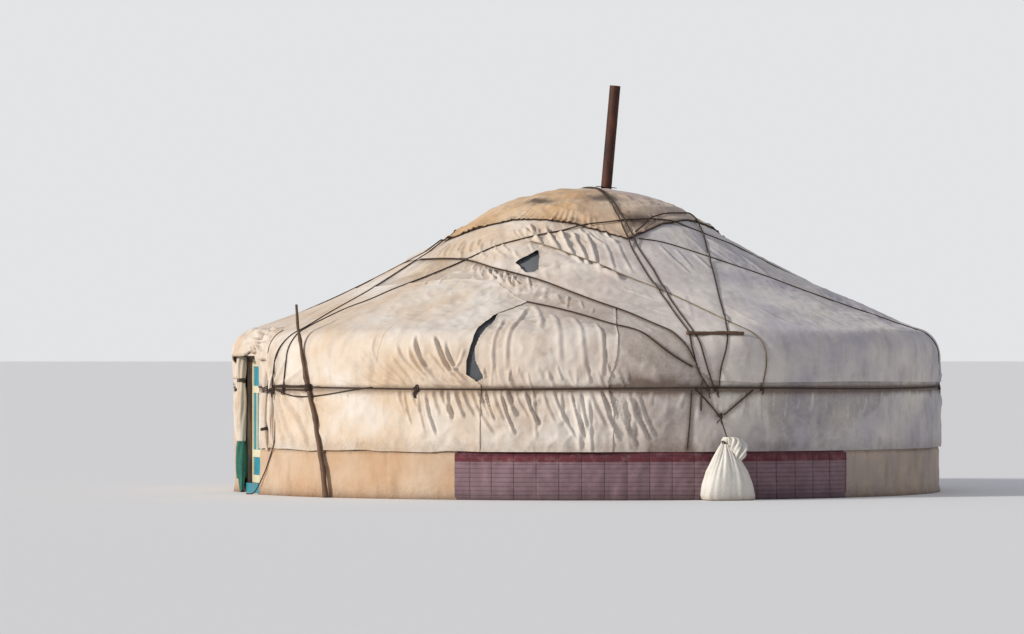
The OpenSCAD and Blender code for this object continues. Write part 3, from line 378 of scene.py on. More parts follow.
# Folds that the photograph shows, each as a line of places, with half width and height in mm
FOLDS = [
    ([(45.6, 0.22), (46.4, 0.07), (47.3, -0.04), (48.4, -0.16), (49.7, -0.25),
      (51.6, -0.34)], 19, 50),
    ([(45.0, 0.10), (45.8, -0.03), (46.9, -0.13), (48.1, -0.21), (49.7, -0.29),
      (51.0, -0.34)], 18, 40),
    ([(49.0, 0.20), (49.6, 0.13), (50.5, 0.03), (51.2, -0.07), (52.1, -0.17), (53.7, -0.26),
      (55.3, -0.33)], 19, 46),
    ([(51.0, 0.16), (51.8, 0.01), (52.3, -0.07), (53.1, -0.16), (54.3, -0.24),
      (55.7, -0.31)], 17, 40),
    ([(48.6, 0.02), (49.6, -0.04), (50.7, -0.13), (52.0, -0.22), (53.4, -0.28)], 16, 23),
    ([(48.2, -0.10), (49.1, -0.17), (50.4, -0.24), (52.1, -0.30), (53.9, -0.33)], 16, 26),
    ([(35.9, 0.02), (37.2, -0.09), (39.5, -0.20)], 17, 13),
    ([(42.7, 0.12), (43.9, -0.01), (45.1, -0.10), (47.3, -0.22), (48.1, -0.27)], 17, 27),
    ([(42.0, 0.0), (43.4, -0.11), (44.8, -0.21), (46.1, -0.31)], 16, 22),
    ([(40.4, -0.07), (42.0, -0.15), (43.7, -0.24), (44.8, -0.32)], 16, 18),
    ([(38.5, -0.22), (41.3, -0.27), (43.7, -0.33)], 14, 14),
    ([(31.7, -0.22), (33.7, -0.27), (35.7, -0.32)], 14, 11),
    ([(34.7, -0.11), (36.6, -0.19), (39.5, -0.28), (42.3, -0.33)], 16, 14),
    ([(52.9, -0.15), (53.9, -0.07), (54.7, 0.08)], 17, 18),
    ([(39.0, 0.62), (39.5, 0.33), (39.9, 0.12), (39.5, -0.02), (39.6, -0.12)], 9, 6),
    ([(46.4, 2.97), (53, 2.72), (59.7, 2.42)], 18, 32),
    ([(54.3, 2.95), (59.5, 2.68), (64.6, 2.38), (69, 2.2)], 19, 34),
    ([(60.8, 2.9), (65.5, 2.6), (69.6, 2.24), (73, 2.02)], 19, 36),
    ([(67.3, 2.82), (70.8, 2.5), (73.3, 2.16), (74.6, 2.0)], 19, 32),
    ([(72.9, 2.82), (75.0, 2.5), (76.2, 2.09), (77.5, 1.8)], 20, 30),
    ([(79.5, 2.7), (80.6, 2.3), (80.8, 1.9), (81.5, 1.6)], 20, 12),
    ([(84.5, 2.6), (84.8, 2.2), (85.6, 1.8)], 20, 10),
    ([(60.2, 1.85), (66.3, 1.98), (76.1, 1.96), (80.1, 1.81), (82.8, 1.58)], 34, 40),
    ([(56.2, 2.34), (54.4, 2.44), (52.4, 2.56)], 15, 14),
    ([(53.4, 2.16), (51.2, 2.24), (49.0, 2.36)], 15, 16),
    ([(52.6, 2.06), (50.4, 2.02), (47.6, 2.02)], 14, 14),
    ([(58.9, 2.26), (60.6, 2.36), (62.8, 2.42)], 15, 14),
    ([(60.4, 1.95), (63.0, 1.96), (66.0, 2.06)], 16, 16),
    ([(57.6, 1.85), (58.8, 1.72), (60.0, 1.56), (61.0, 1.4)], 15, 14),
    ([(55.0, 1.92), (54.6, 1.80), (54.4, 1.70)], 14, 12),
    ([(57.2, 2.40), (58.4, 2.54), (60.0, 2.64)], 13, 12),
    ([(62.6, 1.06), (64.5, 0.85), (65.6, 0.6), (66.2, 0.3)], 30, 16),
    ([(61.8, 1.05), (61.8, 0.75), (61.4, 0.45), (61.2, 0.1), (61.3, -0.2)], 24, 18),
    ([(66.0, 0.95), (68.2, 0.6), (69.2, 0.2), (69.6, -0.2)], 30, 12),
    ([(70.5, 0.8), (72.4, 0.4), (73.0, 0.0), (73.4, -0.26)], 28, 12),
    ([(74.8, 0.6), (75.8, 0.25), (76.0, -0.05), (75.6, -0.3)], 22, 16),
    ([(58.8, 0.7), (59.2, 0.35), (59.0, 0.0), (59.4, -0.28)], 18, 14),
    ([(96, -0.05), (99, -0.03), (101.5, -0.045)], 11, 6),
    ([(16.6, -0.40), (18.6, -0.53), (22.0, -0.69), (23.8, -0.86), (25.1, -1.03)], 20, 42),
    ([(15.0, -0.42), (16.6, -0.60), (18.6, -0.79), (22.0, -1.02)], 20, 42),
    ([(14.2, -0.42), (15.2, -0.62), (16.8, -0.85), (19.2, -1.0)], 18, 36),
    ([(19.0, -0.40), (22.6, -0.52), (26.6, -0.74), (30.6, -1.02)], 22, 15),
    ([(21.0, -0.38), (26.0, -0.48), (31.0, -0.62), (35.6, -0.80)], 24, 12),
    ([(9.6, -0.03), (10.9, -0.16), (12.4, -0.31)], 18, 26),
    ([(12.2, 0.05), (12.6, -0.14), (13.0, -0.31)], 18, 28),
    ([(15.4, 0.02), (14.6, -0.16), (13.5, -0.31)], 18, 28),
    ([(18.4, -0.02), (16.4, -0.18), (14.0, -0.32)], 18, 28),
    ([(24.0, -0.10), (19.5, -0.24), (15.0, -0.33)], 20, 12),
    ([(31.6, 0.035), (35.0, -0.10), (38.8, -0.24), (44.4, -0.33)], 20, 14),
    ([(35.8, 0.055), (38.4, -0.07), (40.7, -0.175), (45.3, -0.32)], 20, 16),
    ([(38.2, 0.23), (38.6, 0.05), (39.4, -0.07), (43.5, -0.30)], 18, 12),
    ([(30.0, -0.22), (35.0, -0.30), (41.0, -0.335)], 18, 8),
    ([(106, -0.09), (111, -0.07), (117, -0.10)], 12, 8),
    ([(88.0, 1.2), (84.0, 1.36), (81.0, 1.5)], 20, 10),
    ([(90.0, 0.7), (87.4, 0.86), (84.6, 1.0)], 18, 10),
]
dice = np.random.default_rng(7)


def fan(at, azimuths, s_range, length, width, height, slant=0.0):
    """Short folds side by side: each starts at an azimuth of its own and runs down."""
    for azimuth in azimuths:
        start = at(azimuth) if callable(at) else at
        start += dice.uniform(*s_range)
        run = length * dice.uniform(0.55, 1.25)
        lean = slant + dice.uniform(-0.25, 0.25)
        radius = float(section(start)[0])
        turn = math.degrees(run * lean / radius)
        FOLDS.append(([(azimuth, start), (azimuth + 0.4 * turn, start - run * 0.5),
                       (azimuth + turn, start - run)],
                      width * dice.uniform(0.7, 1.3), height * dice.uniform(0.5, 1.25)))


def seam_s(azimuth):
    """Where the front canvas ends in its seam."""
    return float(np.interp(azimuth, *np.array(SEAM).T))


def hem_s(azimuth):
    """Where the upper canvas ends in its hem."""
    return float(np.interp(azimuth, *np.array(HEM_LINE).T))


# Gathers over the seam, under the crown cover's corner, and under the girth rope, where
# the slack of the wall canvas is drawn together
fan(seam_s, np.arange(41, 55, 1.05), (0.24, 0.40), 0.28, 12, 24, 0.5)
fan(seam_s, np.arange(22, 41, 2.6), (0.18, 0.5), 0.3, 14, 13, 0.4)
fan(2.62, np.arange(6, 42, 3.1), (-0.05, 0.05), 0.34, 14, 18, 0.7)
fan(2.86, np.arange(40, 52, 2.4), (-0.05, 0.05), 0.26, 13, 24, 0.9)
fan(2.9, np.arange(52, 88, 3.6), (-0.1, 0.0), 0.28, 14, 20, 0.5)
fan(GIRTH_S, np.arange(43, 61, 1.22), (-0.02, 0.0), 0.42, 17, 27, 0.42)
fan(GIRTH_S, np.arange(61, 81, 1.42), (-0.02, 0.0), 0.48, 18, 26, 0.30)
fan(GIRTH_S, np.arange(72, 81, 1.7), (-0.02, 0.0), 0.62, 20, 26, 0.22)
fan(GIRTH_S, np.arange(81, 124, 2.5), (-0.02, 0.0), 0.30, 13, 9, -0.15)
fan(GIRTH_S, np.arange(124, 300, 3.1), (-0.02, 0.0), 0.34, 15, 12, 0.1)
fan(GIRTH_S, np.arange(300, 352, 2.2), (-0.02, 0.0), 0.32, 14, 14, -0.3)
fan(-0.08, np.arange(60, 81, 1.5), (-0.08, 0.02), 0.24, 17, 12, 0.2)
fan(-0.12, np.arange(57.6, 64, 1.4), (-0.04, 0.02), 0.2, 10, 12, 0.1)
fan(0.0, np.arange(124, 340, 4.3), (-0.1, 0.3), 0.36, 20, 10, 0.0)
fan(2.5, np.arange(100, 350, 5.5), (-0.3, 0.3), 0.6, 24, 10, 0.0)
fan(1.3, np.arange(95, 345, 6.5), (-0.4, 0.3), 0.7, 26, 9, 0.0)
fan(hem_s, np.arange(10, 46, 3.3), (0.16, 0.26), 0.2, 12, 9, 0.3)
fan(lambda a: hem_s(a) - 0.12, np.arange(56, 84, 2.7), (-0.05, 0.05), 0.34, 22, 9, 0.1)


WAVES = 46


def waves(seed, longest, shortest, squash=(1, 1, 1)):
    """A smooth random field in space, from sine waves between two wavelengths."""
    rng = np.random.default_rng(seed)
    way = rng.normal(size=(WAVES, 3))
    way /= np.linalg.norm(way, axis=1)[:, None]
    size = 2 * math.pi / np.exp(rng.uniform(math.log(shortest), math.log(longest), WAVES))
    way = way * size[:, None] / np.array(squash)
    start = rng.uniform(0, 2 * math.pi, WAVES)

    def field(points):
        total = np.zeros(len(points))
        for k in range(WAVES):
            total += np.sin(points @ way[k] + start[k])
        return total * math.sqrt(2 / WAVES)
    return field


broad, drape = waves(11, 2.6, 1.1), waves(12, 0.75, 0.26, squash=(1, 1, 2.2))
crumple, crease = waves(13, 0.24, 0.10), waves(14, 0.34, 0.12)


def loose(azimuth, s):
    """How slack the canvas is: tight over the left of the roof, baggy where it is gathered."""
    a = whole_azimuth(azimuth)
    near = np.exp(-((a - 58) / 26) ** 2) * np.clip(0.35 + s / 2.2, 0.35, 1)
    wall = np.exp(-((a - 64) / 17) ** 2) * np.clip(0.3 - s * 2, 0, 1)
    back = 0.45 * np.clip((100 - np.abs(a - 215)) / 30, 0, 1)
    return np.clip(0.30 + 0.8 * near + 0.7 * wall + back, 0, 1.35)


def rope_gap(azimuth, s):
    """Distance to the nearest rope over the covers."""
    best = np.abs(s - GIRTH_S)
    a = whole_azimuth(azimuth)
    reach = math.degrees(0.9)
    for route in HELD:
        line = np.array(route, float)
        line[:, 0] = whole_azimuth(line[:, 0])
        rows = (a > line[:, 0].min() - reach) & (a < line[:, 0].max() + reach)
        if rows.any():
            best[rows] = np.minimum(best[rows], from_line(a[rows], s[rows], line)[0])
    return best


LIFT_AT_ROPE, LIFT_BETWEEN, LEAST_LIFT = 0.004, 0.020, 0.0025


def canvas_lift(azimuth, s):
    """How far the loose canvas stands off its tight surface, in metres: more between the
    ropes, with drapes, crumples and creases where it is slack, and the folds on top."""
    azimuth, s = np.asarray(azimuth, float).ravel(), np.asarray(s, float).ravel()
    a = whole_azimuth(azimuth)
    points = place(azimuth, s, 0)
    gap = rope_gap(azimuth, s)
    held = 1 - 0.8 * np.exp(-(gap / 0.05) ** 2)
    slack = loose(azimuth, s)
    spread_out = np.maximum(0.26 * (1 + 0.35 * broad(points * 1.7)), 0.08)
    away = 1 - np.exp(-(gap / spread_out) ** 1.5)
    lift = LIFT_AT_ROPE + LIFT_BETWEEN * away * (0.5 + 0.5 * slack)
    lift += 0.007 * broad(points) * held
    lift += 0.0050 * drape(points) * slack * held
    lift += 0.0022 * crumple(points) * slack * held
    sharp = 1 - np.abs(crease(points))
    lift += 0.0040 * np.clip(sharp, -1, 1) * slack * held
    folds = np.zeros(len(s))
    for line, width, height in FOLDS:
        line = np.array(line, float)
        line[:, 0] = whole_azimuth(line[:, 0])
        width, height = width / 1000, height / 1000
        reach = 4.2 * width
        turn = math.degrees(reach / max(0.8, float(section(line[:, 1].max())[0])))
        rows = ((a > line[:, 0].min() - turn) & (a < line[:, 0].max() + turn)
                & (s > line[:, 1].min() - reach) & (s < line[:, 1].max() + reach))
        if not rows.any():
            continue
        near, share, side = from_line(a[rows], s[rows], line)
        ends = np.clip(np.minimum(share, 1 - share) * 5, 0, 1)
        ends = ends * ends * (3 - 2 * ends)
        beyond = (share <= 0) | (share >= 1)
        ends = np.where(beyond, 0, ends)
        across = near * side / width
        ridge, hollow = np.exp(-across ** 2), np.exp(-((across - 1.7) / 0.8) ** 2)
        folds[rows] += height * ends * (ridge - 0.45 * hollow)
    lift += folds * (1 - 0.55 * np.exp(-(gap / 0.03) ** 2))
    return LEAST_LIFT + 0.5 * (lift + np.sqrt(lift ** 2 + 0.003 ** 2))


# The crown cover: a square, long at its tied corners, with a gathered hem. Azimuth of a
# corner, radius between the corners and reach beyond it; then how far it clears the
# canvas under it, and up to which s there is canvas
CORNERS_FROM, COVER_MID, COVER_POINT = -1.0, 1.285, 0.36
COVER_CLEAR, COVER_OVERLAPS_TO = 0.016, 3.34
roof_s = np.linspace(S_KNEE, S_TOP, 900)
roof_radius = section(roof_s)[0]


def s_at_radius(radius):
    """The distance up the section at which the roof and crown have a radius."""
    return np.interp(radius, roof_radius[::-1], roof_s[::-1])


def cover_edge(azimuth):
    """Radius of the cover's hem: long at the tied corners, short between them."""
    off = np.abs(np.mod(azimuth - CORNERS_FROM + 45, 90) - 45) / 45
    return COVER_MID + COVER_POINT * (1 - off) ** 2.3


PLEATS = 120
pleat_rng = np.random.default_rng(21)
pleat_turn = pleat_rng.uniform(-0.5, 0.5, PLEATS + 1)
pleat_size = pleat_rng.uniform(0.35, 1.3, PLEATS + 1)


def cover_lift(azimuth, share, radius):
    """How far the crown cover stands off the crown and the roof."""
    points = place(azimuth, s_at_radius(radius), 0)
    along_hem = np.mod(azimuth, 360) / 360 * PLEATS
    number = along_hem.astype(int) % PLEATS
    phase = along_hem + 0.35 * pleat_turn[number]
    in_hem = np.clip((share - 0.76) / 0.20, 0, 1)
    tight = 1 + 1.3 * np.exp(-((np.mod(azimuth + 180, 360) - 180 - 55) / 26) ** 2)
    pleat = (in_hem ** 1.4 * 0.012 * tight * pleat_size[number]
             * (0.5 + 0.5 * np.cos(2 * math.pi * phase)))
    spokes = 0.006 * (np.cos(np.radians(azimuth) * 17 + 2.5 * np.sin(np.radians(azimuth) * 3))
                      * np.clip((share - 0.25) * 2, 0, 1))
    lift = 0.012 + pleat + spokes + 0.005 * drape(points) + 0.0035 * crumple(points)
    outer = np.clip(share * 1.4 - 0.2, 0, 1)
    lift += 0.0055 * np.clip(1 - np.abs(crease(points * 1.4)), -1, 1) * outer
    hem_roll = 0.010 * np.exp(-((share - 0.975) / 0.018) ** 2)
    at = s_at_radius(radius)
    under = np.where(at < COVER_OVERLAPS_TO, canvas_lift(azimuth, at) + COVER_CLEAR, 0)
    return np.maximum(np.maximum(lift, 0.004) + 0.010, under) + hem_roll


def ring_faces(rings, sides, closed=False):
    """Faces round and along rings of points, with a face on each end that is open."""
    faces = []
    for i in range(rings if closed else rings - 1):
        j = (i + 1) % rings
        for k in range(sides):
            n = (k + 1) % sides
            faces.append((i * sides + k, i * sides + n, j * sides + n, j * sides + k))
    if not closed:
        faces.append(tuple(range(sides - 1, -1, -1)))
        faces.append(tuple((rings - 1) * sides + k for k in range(sides)))
    return faces


def tube(name, path, radius, sides=8, closed=False):
    """A round rope along a path of points, with metres along and round it as 'laid'."""
    path = np.asarray(path, float)
    count = len(path)
    radius = np.broadcast_to(np.asarray(radius, float), (count,))
    if closed:
        ahead = np.roll(path, -1, 0) - np.roll(path, 1, 0)
    else:
        ahead = np.gradient(path, axis=0)
    ahead /= np.linalg.norm(ahead, axis=1)[:, None]
    up = np.zeros_like(path)
    u = np.cross(ahead[0], [0.13, 0.21, 0.97])
    for k in range(count):
        u = u - ahead[k] * (u @ ahead[k])
        u /= np.linalg.norm(u)
        up[k] = u
    across = np.cross(ahead, up)
    turn = np.linspace(0, 2 * math.pi, sides, endpoint=False)
    ring = (up[:, None, :] * np.cos(turn)[None, :, None]
            + across[:, None, :] * np.sin(turn)[None, :, None])
    points = (path[:, None, :] + ring * radius[:, None, None]).reshape(-1, 3)
    laid = np.stack([np.repeat(run_along(path), sides), np.tile(turn * radius.mean(), count),
                     np.zeros(count * sides)], 1)
    return piece(name, points, ring_faces(count, sides, closed), {"laid": laid})


def piece(name, points, faces, attributes=None):
    """A smooth mesh object from points and faces, with its attributes on the points."""
    mesh = bpy.data.meshes.new(name)
    mesh.from_pydata(np.asarray(points, float).tolist(), [], [list(map(int, f)) for f in faces])
    mesh.shade_smooth()
    for key_name, values in (attributes or {}).items():
        values = np.asarray(values, np.float32)
        kind, field = ("FLOAT_VECTOR", "vector") if values.ndim == 2 else ("FLOAT", "value")
        mesh.attributes.new(key_name, kind, "POINT").data.foreach_set(field, values.ravel())
    made = bpy.data.objects.new(name, mesh)
    bpy.context.scene.collection.objects.link(made)
    return made


def dress(made, material):
    """Gives a piece its material and lets it ride on the yurt."""
    made.data.materials.append(material)
    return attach(made, "yurt")


WAVE_PERIOD = 0.314159  # metres between the bands of a wave texture at scale 1


STRAND, STRAND_SLANT = 0.012, math.radians(38)


def rope_material(name, dark, light):
    """Twisted rope: its strands lie aslant, 12 mm apart, with loose hairs that soften the
    edges, so the light breaks up along it and never glints."""
    made, tree = blank_material(name)
    laid = put(tree, "Attribute", whole=True, attribute_name="laid").outputs["Vector"]
    turned = put(tree, "Mapping", Vector=laid, Rotation=(0, 0, STRAND_SLANT))
    strands = put(tree, "TexWave", Vector=turned, Scale=WAVE_PERIOD / STRAND, Distortion=0.4,
                  Detail=1.0)
    hairs = put(tree, "TexNoise", Vector=laid, Scale=160.0, Detail=3.0)
    worn = put(tree, "TexNoise", Vector=laid, Scale=7.0, Detail=2.0)
    tone = put(tree, "MixRGB", Fac=strands, Color1=linear(dark), Color2=linear(light))
    tone = put(tree, "MixRGB", blend_type="OVERLAY", Fac=0.6, Color1=tone, Color2=worn)
    height = put(tree, "MixRGB", Fac=0.25, Color1=strands, Color2=hairs)
    bumps = put(tree, "Bump", Height=height, Strength=0.7, Distance=0.003)
    surface(tree, Base_Color=tone, Roughness=0.88, Normal=bumps)
    return made


dark_rope = rope_material("twisted horsehair rope", "#241a15", "#54402f")
light_rope = rope_material("twisted hemp rope", "#5d503f", "#a8967a")


def rope_path(azimuth, s, radius, layer=0.0):
    """A tight rope's middle line: it lies on the ridges of the covers and spans the dips."""
    lift = canvas_lift(azimuth, s)
    radius_here, edge = section(s)[0], cover_edge(azimuth)
    over_cover = (radius_here < edge + 0.01) & (s > 2.3)
    if over_cover.any():
        share = np.minimum(radius_here / edge, 1)[over_cover]
        lift[over_cover] = cover_lift(azimuth[over_cover], share, radius_here[over_cover]) + 0.004
    for _ in range(2):
        lift = np.maximum.reduce([np.roll(lift, k) for k in (-2, -1, 0, 1, 2)])
    kernel = np.ones(7) / 7
    lift = np.convolve(np.pad(lift, 3, mode="edge"), kernel, "valid")
    return place(azimuth, s, lift * 0.8 + radius + layer + 0.004)


def hump(azimuth, s, name):
    """How far a rope rises where it climbs over another one."""
    rise = np.zeros(len(s))
    for at, height in OVER.get(name, ()):
        off = np.hypot(np.radians(azimuth - at) * section(height)[0], s - height)
        rise = np.maximum(rise, 0.016 * np.clip(2 - off / 0.08, 0, 1))
    return rise


def rope(name, path, radius=ROPE_R, material=dark_rope):
    """A rope that stands for one of the part's roof ropes."""
    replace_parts(dress(tube(name, path, radius), material), "roof_ropes")


# Strands that lie loose on the covers, with no hold on the canvas
SLACK = {
    "slack_strand": [(12.6, -0.338), (14.6, -0.36), (17.1, -0.395), (20.7, -0.44),
                     (25.4, -0.437), (29.7, -0.41), (33.4, -0.375), (36.7, -0.347),
                     (38.5, -0.336)],
    "girth_turn_1": [(12.2, -0.318), (15.0, -0.327), (17.5, -0.316), (20.5, -0.329),
                     (23.5, -0.318), (26.0, -0.336)],
    "girth_turn_2": [(12.4, -0.372), (14.4, -0.358), (17.0, -0.373), (19.8, -0.362),
                     (22.6, -0.371), (25.6, -0.352)],
}
for rope_name, route in (ROUTES | SLACK).items():
    if rope_name.startswith("strap"):
        continue
    azimuth, s = smooth_route(route)
    lifted = rope_path(azimuth, s, ROPE_R, hump(azimuth, s, rope_name))
    rope(rope_name, lifted, material=light_rope if rope_name == "light_rope" else dark_rope)
STRAP_POINTS, STRAP_TOP_GAP = 170, 0.013
for strap_name, line in STRAPS.items():
    s = np.linspace(ROPE_END, S_TOP - STRAP_TOP_GAP, STRAP_POINTS)
    side_off = np.interp(s, *np.array(line).T)
    azimuth = 90 + np.degrees(np.arcsin(side_off / section(s)[0]))
    near = rope_path(azimuth, s, ROPE_R, hump(azimuth, s, strap_name))
    far = rope_path(360 - azimuth, s, ROPE_R)
    rope(strap_name, np.concatenate([near, far[::-1]]))


def on_wall(line, clear=0.0):
    """A line of azimuths, distances out and heights as a smooth path before the wall."""
    p = round_bends(line, 2)
    steps_along = np.hypot(np.radians(np.diff(p[:, 0])) * WALL_R, np.diff(p[:, 2]))
    run = np.concatenate([[0], np.cumsum(steps_along)])
    even = np.linspace(0, run[-1], max(4, int(run[-1] / WALL_STEP)))
    azimuth, out, z = (np.interp(even, run, p[:, k]) for k in range(3))
    return compass(azimuth, WALL_R + out + clear, z)


for tie_name, line in TIES.items():
    rope(tie_name, on_wall(line, clear=0.004), TIE_R)
for cord_name, line, node in (("free_strap_end", LOOSE_CORD, "loose_cord"),
                              ("rope_tail_to_ground", GROUND_CORD, "ground_cord")):
    path = on_wall(line)
    made = dress(tube(cord_name, path, CORD_R), dark_rope)
    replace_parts(made, node)


KNOT_R, TAIL_R = 0.0074, 0.0062


def knot(name, at, size, turn, tails):
    """An overhand knot, drawn up tight, with its short tails."""
    t = np.linspace(0, 2 * math.pi, 44, endpoint=False)
    ring = np.stack([np.sin(t) + 1.7 * np.sin(2 * t), np.cos(t) - 1.7 * np.cos(2 * t),
                     -1.1 * np.sin(3 * t)], 1)
    azimuth, out, z = at
    outwards, sideways = compass(azimuth, 1.0, 0.0), compass(azimuth + 90, 1.0, 0.0)
    c, d = math.cos(turn), math.sin(turn)
    u, v = ring[:, 0] * c - ring[:, 1] * d, ring[:, 0] * d + ring[:, 1] * c
    middle = compass(azimuth, WALL_R + out, z)
    points = middle + size * 0.3 * (u[:, None] * sideways + v[:, None] * UP
                                    + ring[:, 2:] * 0.55 * outwards)
    made = tube(name, points, KNOT_R, 6, closed=True)
    for k in range(tails):
        lean = dice.uniform(-0.5, 0.5)
        run = np.linspace(0, dice.uniform(0.05, 0.11), 8)
        tail = (middle + outwards * (0.012 - run[:, None] * 0.05) - UP * run[:, None]
                + sideways * (lean * run[:, None] + 0.01 * np.sin(run * 60 + k)[:, None]))
        dress(tube(f"{name}_tail_{k + 1}", tail, TAIL_R, 6), dark_rope)
    dress(made, dark_rope)
    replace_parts(made, "roof_ropes")


girth_z = EAVE + GIRTH_S
# Each knot: azimuth, distance out and height, then its size, turn and number of tails
for number, (azimuth, out, z, size, turn, tails) in enumerate((
        (14.5, 0.024, girth_z, 0.034, 0.3, 3), (17.7, 0.024, girth_z, 0.032, 1.0, 3),
        (46.6, 0.024, girth_z, 0.046, 0.6, 3), (90.4, 0.018, girth_z, 0.028, 0.2, 0),
        (92.2, 0.020, girth_z, 0.030, 0.8, 1), (93.5, 0.020, girth_z, 0.032, 2.1, 2),
        (101.4, 0.020, girth_z, 0.028, 1.4, 1), (94.3, 0.018, 0.873, 0.034, 0.4, 2),
        (156, 0.020, girth_z, 0.030, 0.0, 1), (166, 0.020, girth_z, 0.030, 0.9, 1),
        (205.5, 0.020, girth_z, 0.030, 0.9, 1), (230, 0.020, girth_z, 0.030, 0.4, 1),
        (267.2, 0.020, girth_z, 0.030, 1.9, 1), (268.4, 0.020, girth_z, 0.030, 0.1, 0),
        (315, 0.020, girth_z, 0.030, 0.5, 1), (341, 0.020, girth_z, 0.030, 1.2, 1))):
    knot(f"rope_knot_{number + 1}", (azimuth, out, z), size, turn, tails)

girth_azimuth = np.linspace(6.6, 351.6, 760)
girth_way = 0 * girth_azimuth + GIRTH_S + 0.008 * np.sin(np.radians(girth_azimuth * 5))
girth = tube("girth_rope_twist", rope_path(girth_azimuth, girth_way, GIRTH_R), GIRTH_R)
dress(girth, dark_rope)
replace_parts(girth, "girth_rope")

# ---------------------------------------------------------------- canvas covers
# Heavy cotton canvas, cut in large sheets, patched and weathered to a dirty cream, laid
# over the felt from the door round to the back and held by the ropes above.


def grid_quads(shape):
    """Faces between the points of a grid of this shape."""
    index = np.arange(shape[0] * shape[1]).reshape(shape)
    return np.stack([index[:-1, :-1], index[1:, :-1], index[1:, 1:], index[:-1, 1:]],
                    -1).reshape(-1, 4)


BORDER_REACH, BORDER_WIDTH, LEAST_QUAD = 0.56, 0.04, 2e-6


def spread(name, outline, azimuths, rows, layer, edge_lift=0.0, hole=()):
    """A sheet of canvas: a grid of places clipped to an outline of (azimuth, s) points,
    its border points moved onto the outline, lifted off the tight surface."""
    aa, ss = (v.ravel() for v in np.meshgrid(azimuths, rows, indexing="ij"))
    lines = [np.array(edge + edge[:1], float) for edge in (outline, list(hole)) if edge]
    radius = np.maximum(section(ss)[0], LEAST_RADIUS)
    cell_a = np.radians(np.repeat(np.gradient(azimuths), len(rows))) * radius
    cell_s = np.tile(np.gradient(rows), len(azimuths))
    inside = np.zeros(len(aa), bool)
    best = np.full(len(aa), FAR_OFF)
    near_a, near_s = aa.copy(), ss.copy()
    for (a0, s0), (a1, s1) in [ends for line in lines for ends in zip(line[:-1], line[1:])]:
        crosses = (s0 > ss) != (s1 > ss)
        with np.errstate(divide="ignore", invalid="ignore"):
            at = a0 + (ss - s0) * (a1 - a0) / (s1 - s0)
        inside ^= crosses & (aa < at)
        ax, ay = np.radians(a0 - aa) * radius / cell_a, (s0 - ss) / cell_s
        bx, by = np.radians(a1 - aa) * radius / cell_a, (s1 - ss) / cell_s
        dx, dy = bx - ax, by - ay
        t = np.clip(-(ax * dx + ay * dy) / np.maximum(dx * dx + dy * dy, 1e-9), 0, 1)
        far = np.hypot(ax + t * dx, ay + t * dy)
        closer = far < best
        best = np.where(closer, far, best)
        near_a = np.where(closer, a0 + t * (a1 - a0), near_a)
        near_s = np.where(closer, s0 + t * (s1 - s0), near_s)
    moved = best < BORDER_REACH
    aa[moved], ss[moved] = near_a[moved], near_s[moved]
    keep = inside | moved
    quads = grid_quads((len(azimuths), len(rows)))
    quads = quads[keep[quads].all(1)]
    used, quads_new = np.unique(quads, return_inverse=True)
    quads_new = quads_new.reshape(-1, 4)
    azimuth, s = aa[used], ss[used]
    border = np.clip(best[used] * cell_s[used] / BORDER_WIDTH, 0, 1)
    lift = canvas_lift(azimuth, s) + layer + edge_lift * (1 - border)
    points = place(azimuth, s, lift)
    # quads that lost their width at the outline are left out
    size = np.linalg.norm(np.cross(points[quads_new[:, 2]] - points[quads_new[:, 0]],
                                   points[quads_new[:, 3]] - points[quads_new[:, 1]]), axis=1)
    quads_new = quads_new[size > LEAST_QUAD]
    laid = np.stack([np.radians(azimuth - azimuths.mean()) * section(s)[0], s, 0 * s], 1)
    return piece(name, points, quads_new, {
        "laid": laid, "grime_and_shade": grime_and_shade(azimuth, s, lift), "painted_sun_warmth": painted_sun_warmth(azimuth, s)})


def grime_and_shade(azimuth, s, lift):
    """How dark the canvas is painted: dirt low on the wall, darker by the girth rope, along the
    ropes and in two patches on the near side, and painted shade in the dips of the folds.
    """
    a = whole_azimuth(azimuth)
    dirt_and_shade = 0.55 * np.exp(-((s - GIRTH_S + 0.02) / 0.05) ** 2)
    dirt_and_shade += 0.30 * np.exp(-((s + 1.0) / 0.12) ** 2)
    dirt_and_shade += 0.28 * np.exp(-(rope_gap(azimuth, s) / 0.03) ** 2)
    dirt_and_shade += 0.5 * np.exp(-((a - 84) / 7) ** 2 - ((s + 0.28) / 0.07) ** 2)
    dirt_and_shade += 0.15 * np.exp(-((a - 80) / 5) ** 2 - ((s + 0.05) / 0.35) ** 2)
    # Painted shade: darker where the canvas lies low, in the dips of the folds
    dirt_and_shade += np.clip((0.014 - lift) / 0.016, 0, 0.32)
    return np.clip(dirt_and_shade, 0, 1)


def painted_sun_warmth(azimuth, s):
    """Painted light: a warmer, sunlit colour towards the door's side and a grey, shaded colour
    round the side.
    """
    return np.clip(0.72 - (off_door(azimuth) - 60) / 80, 0.08, 0.9) + 0 * s


CANVAS_THREAD = 0.013


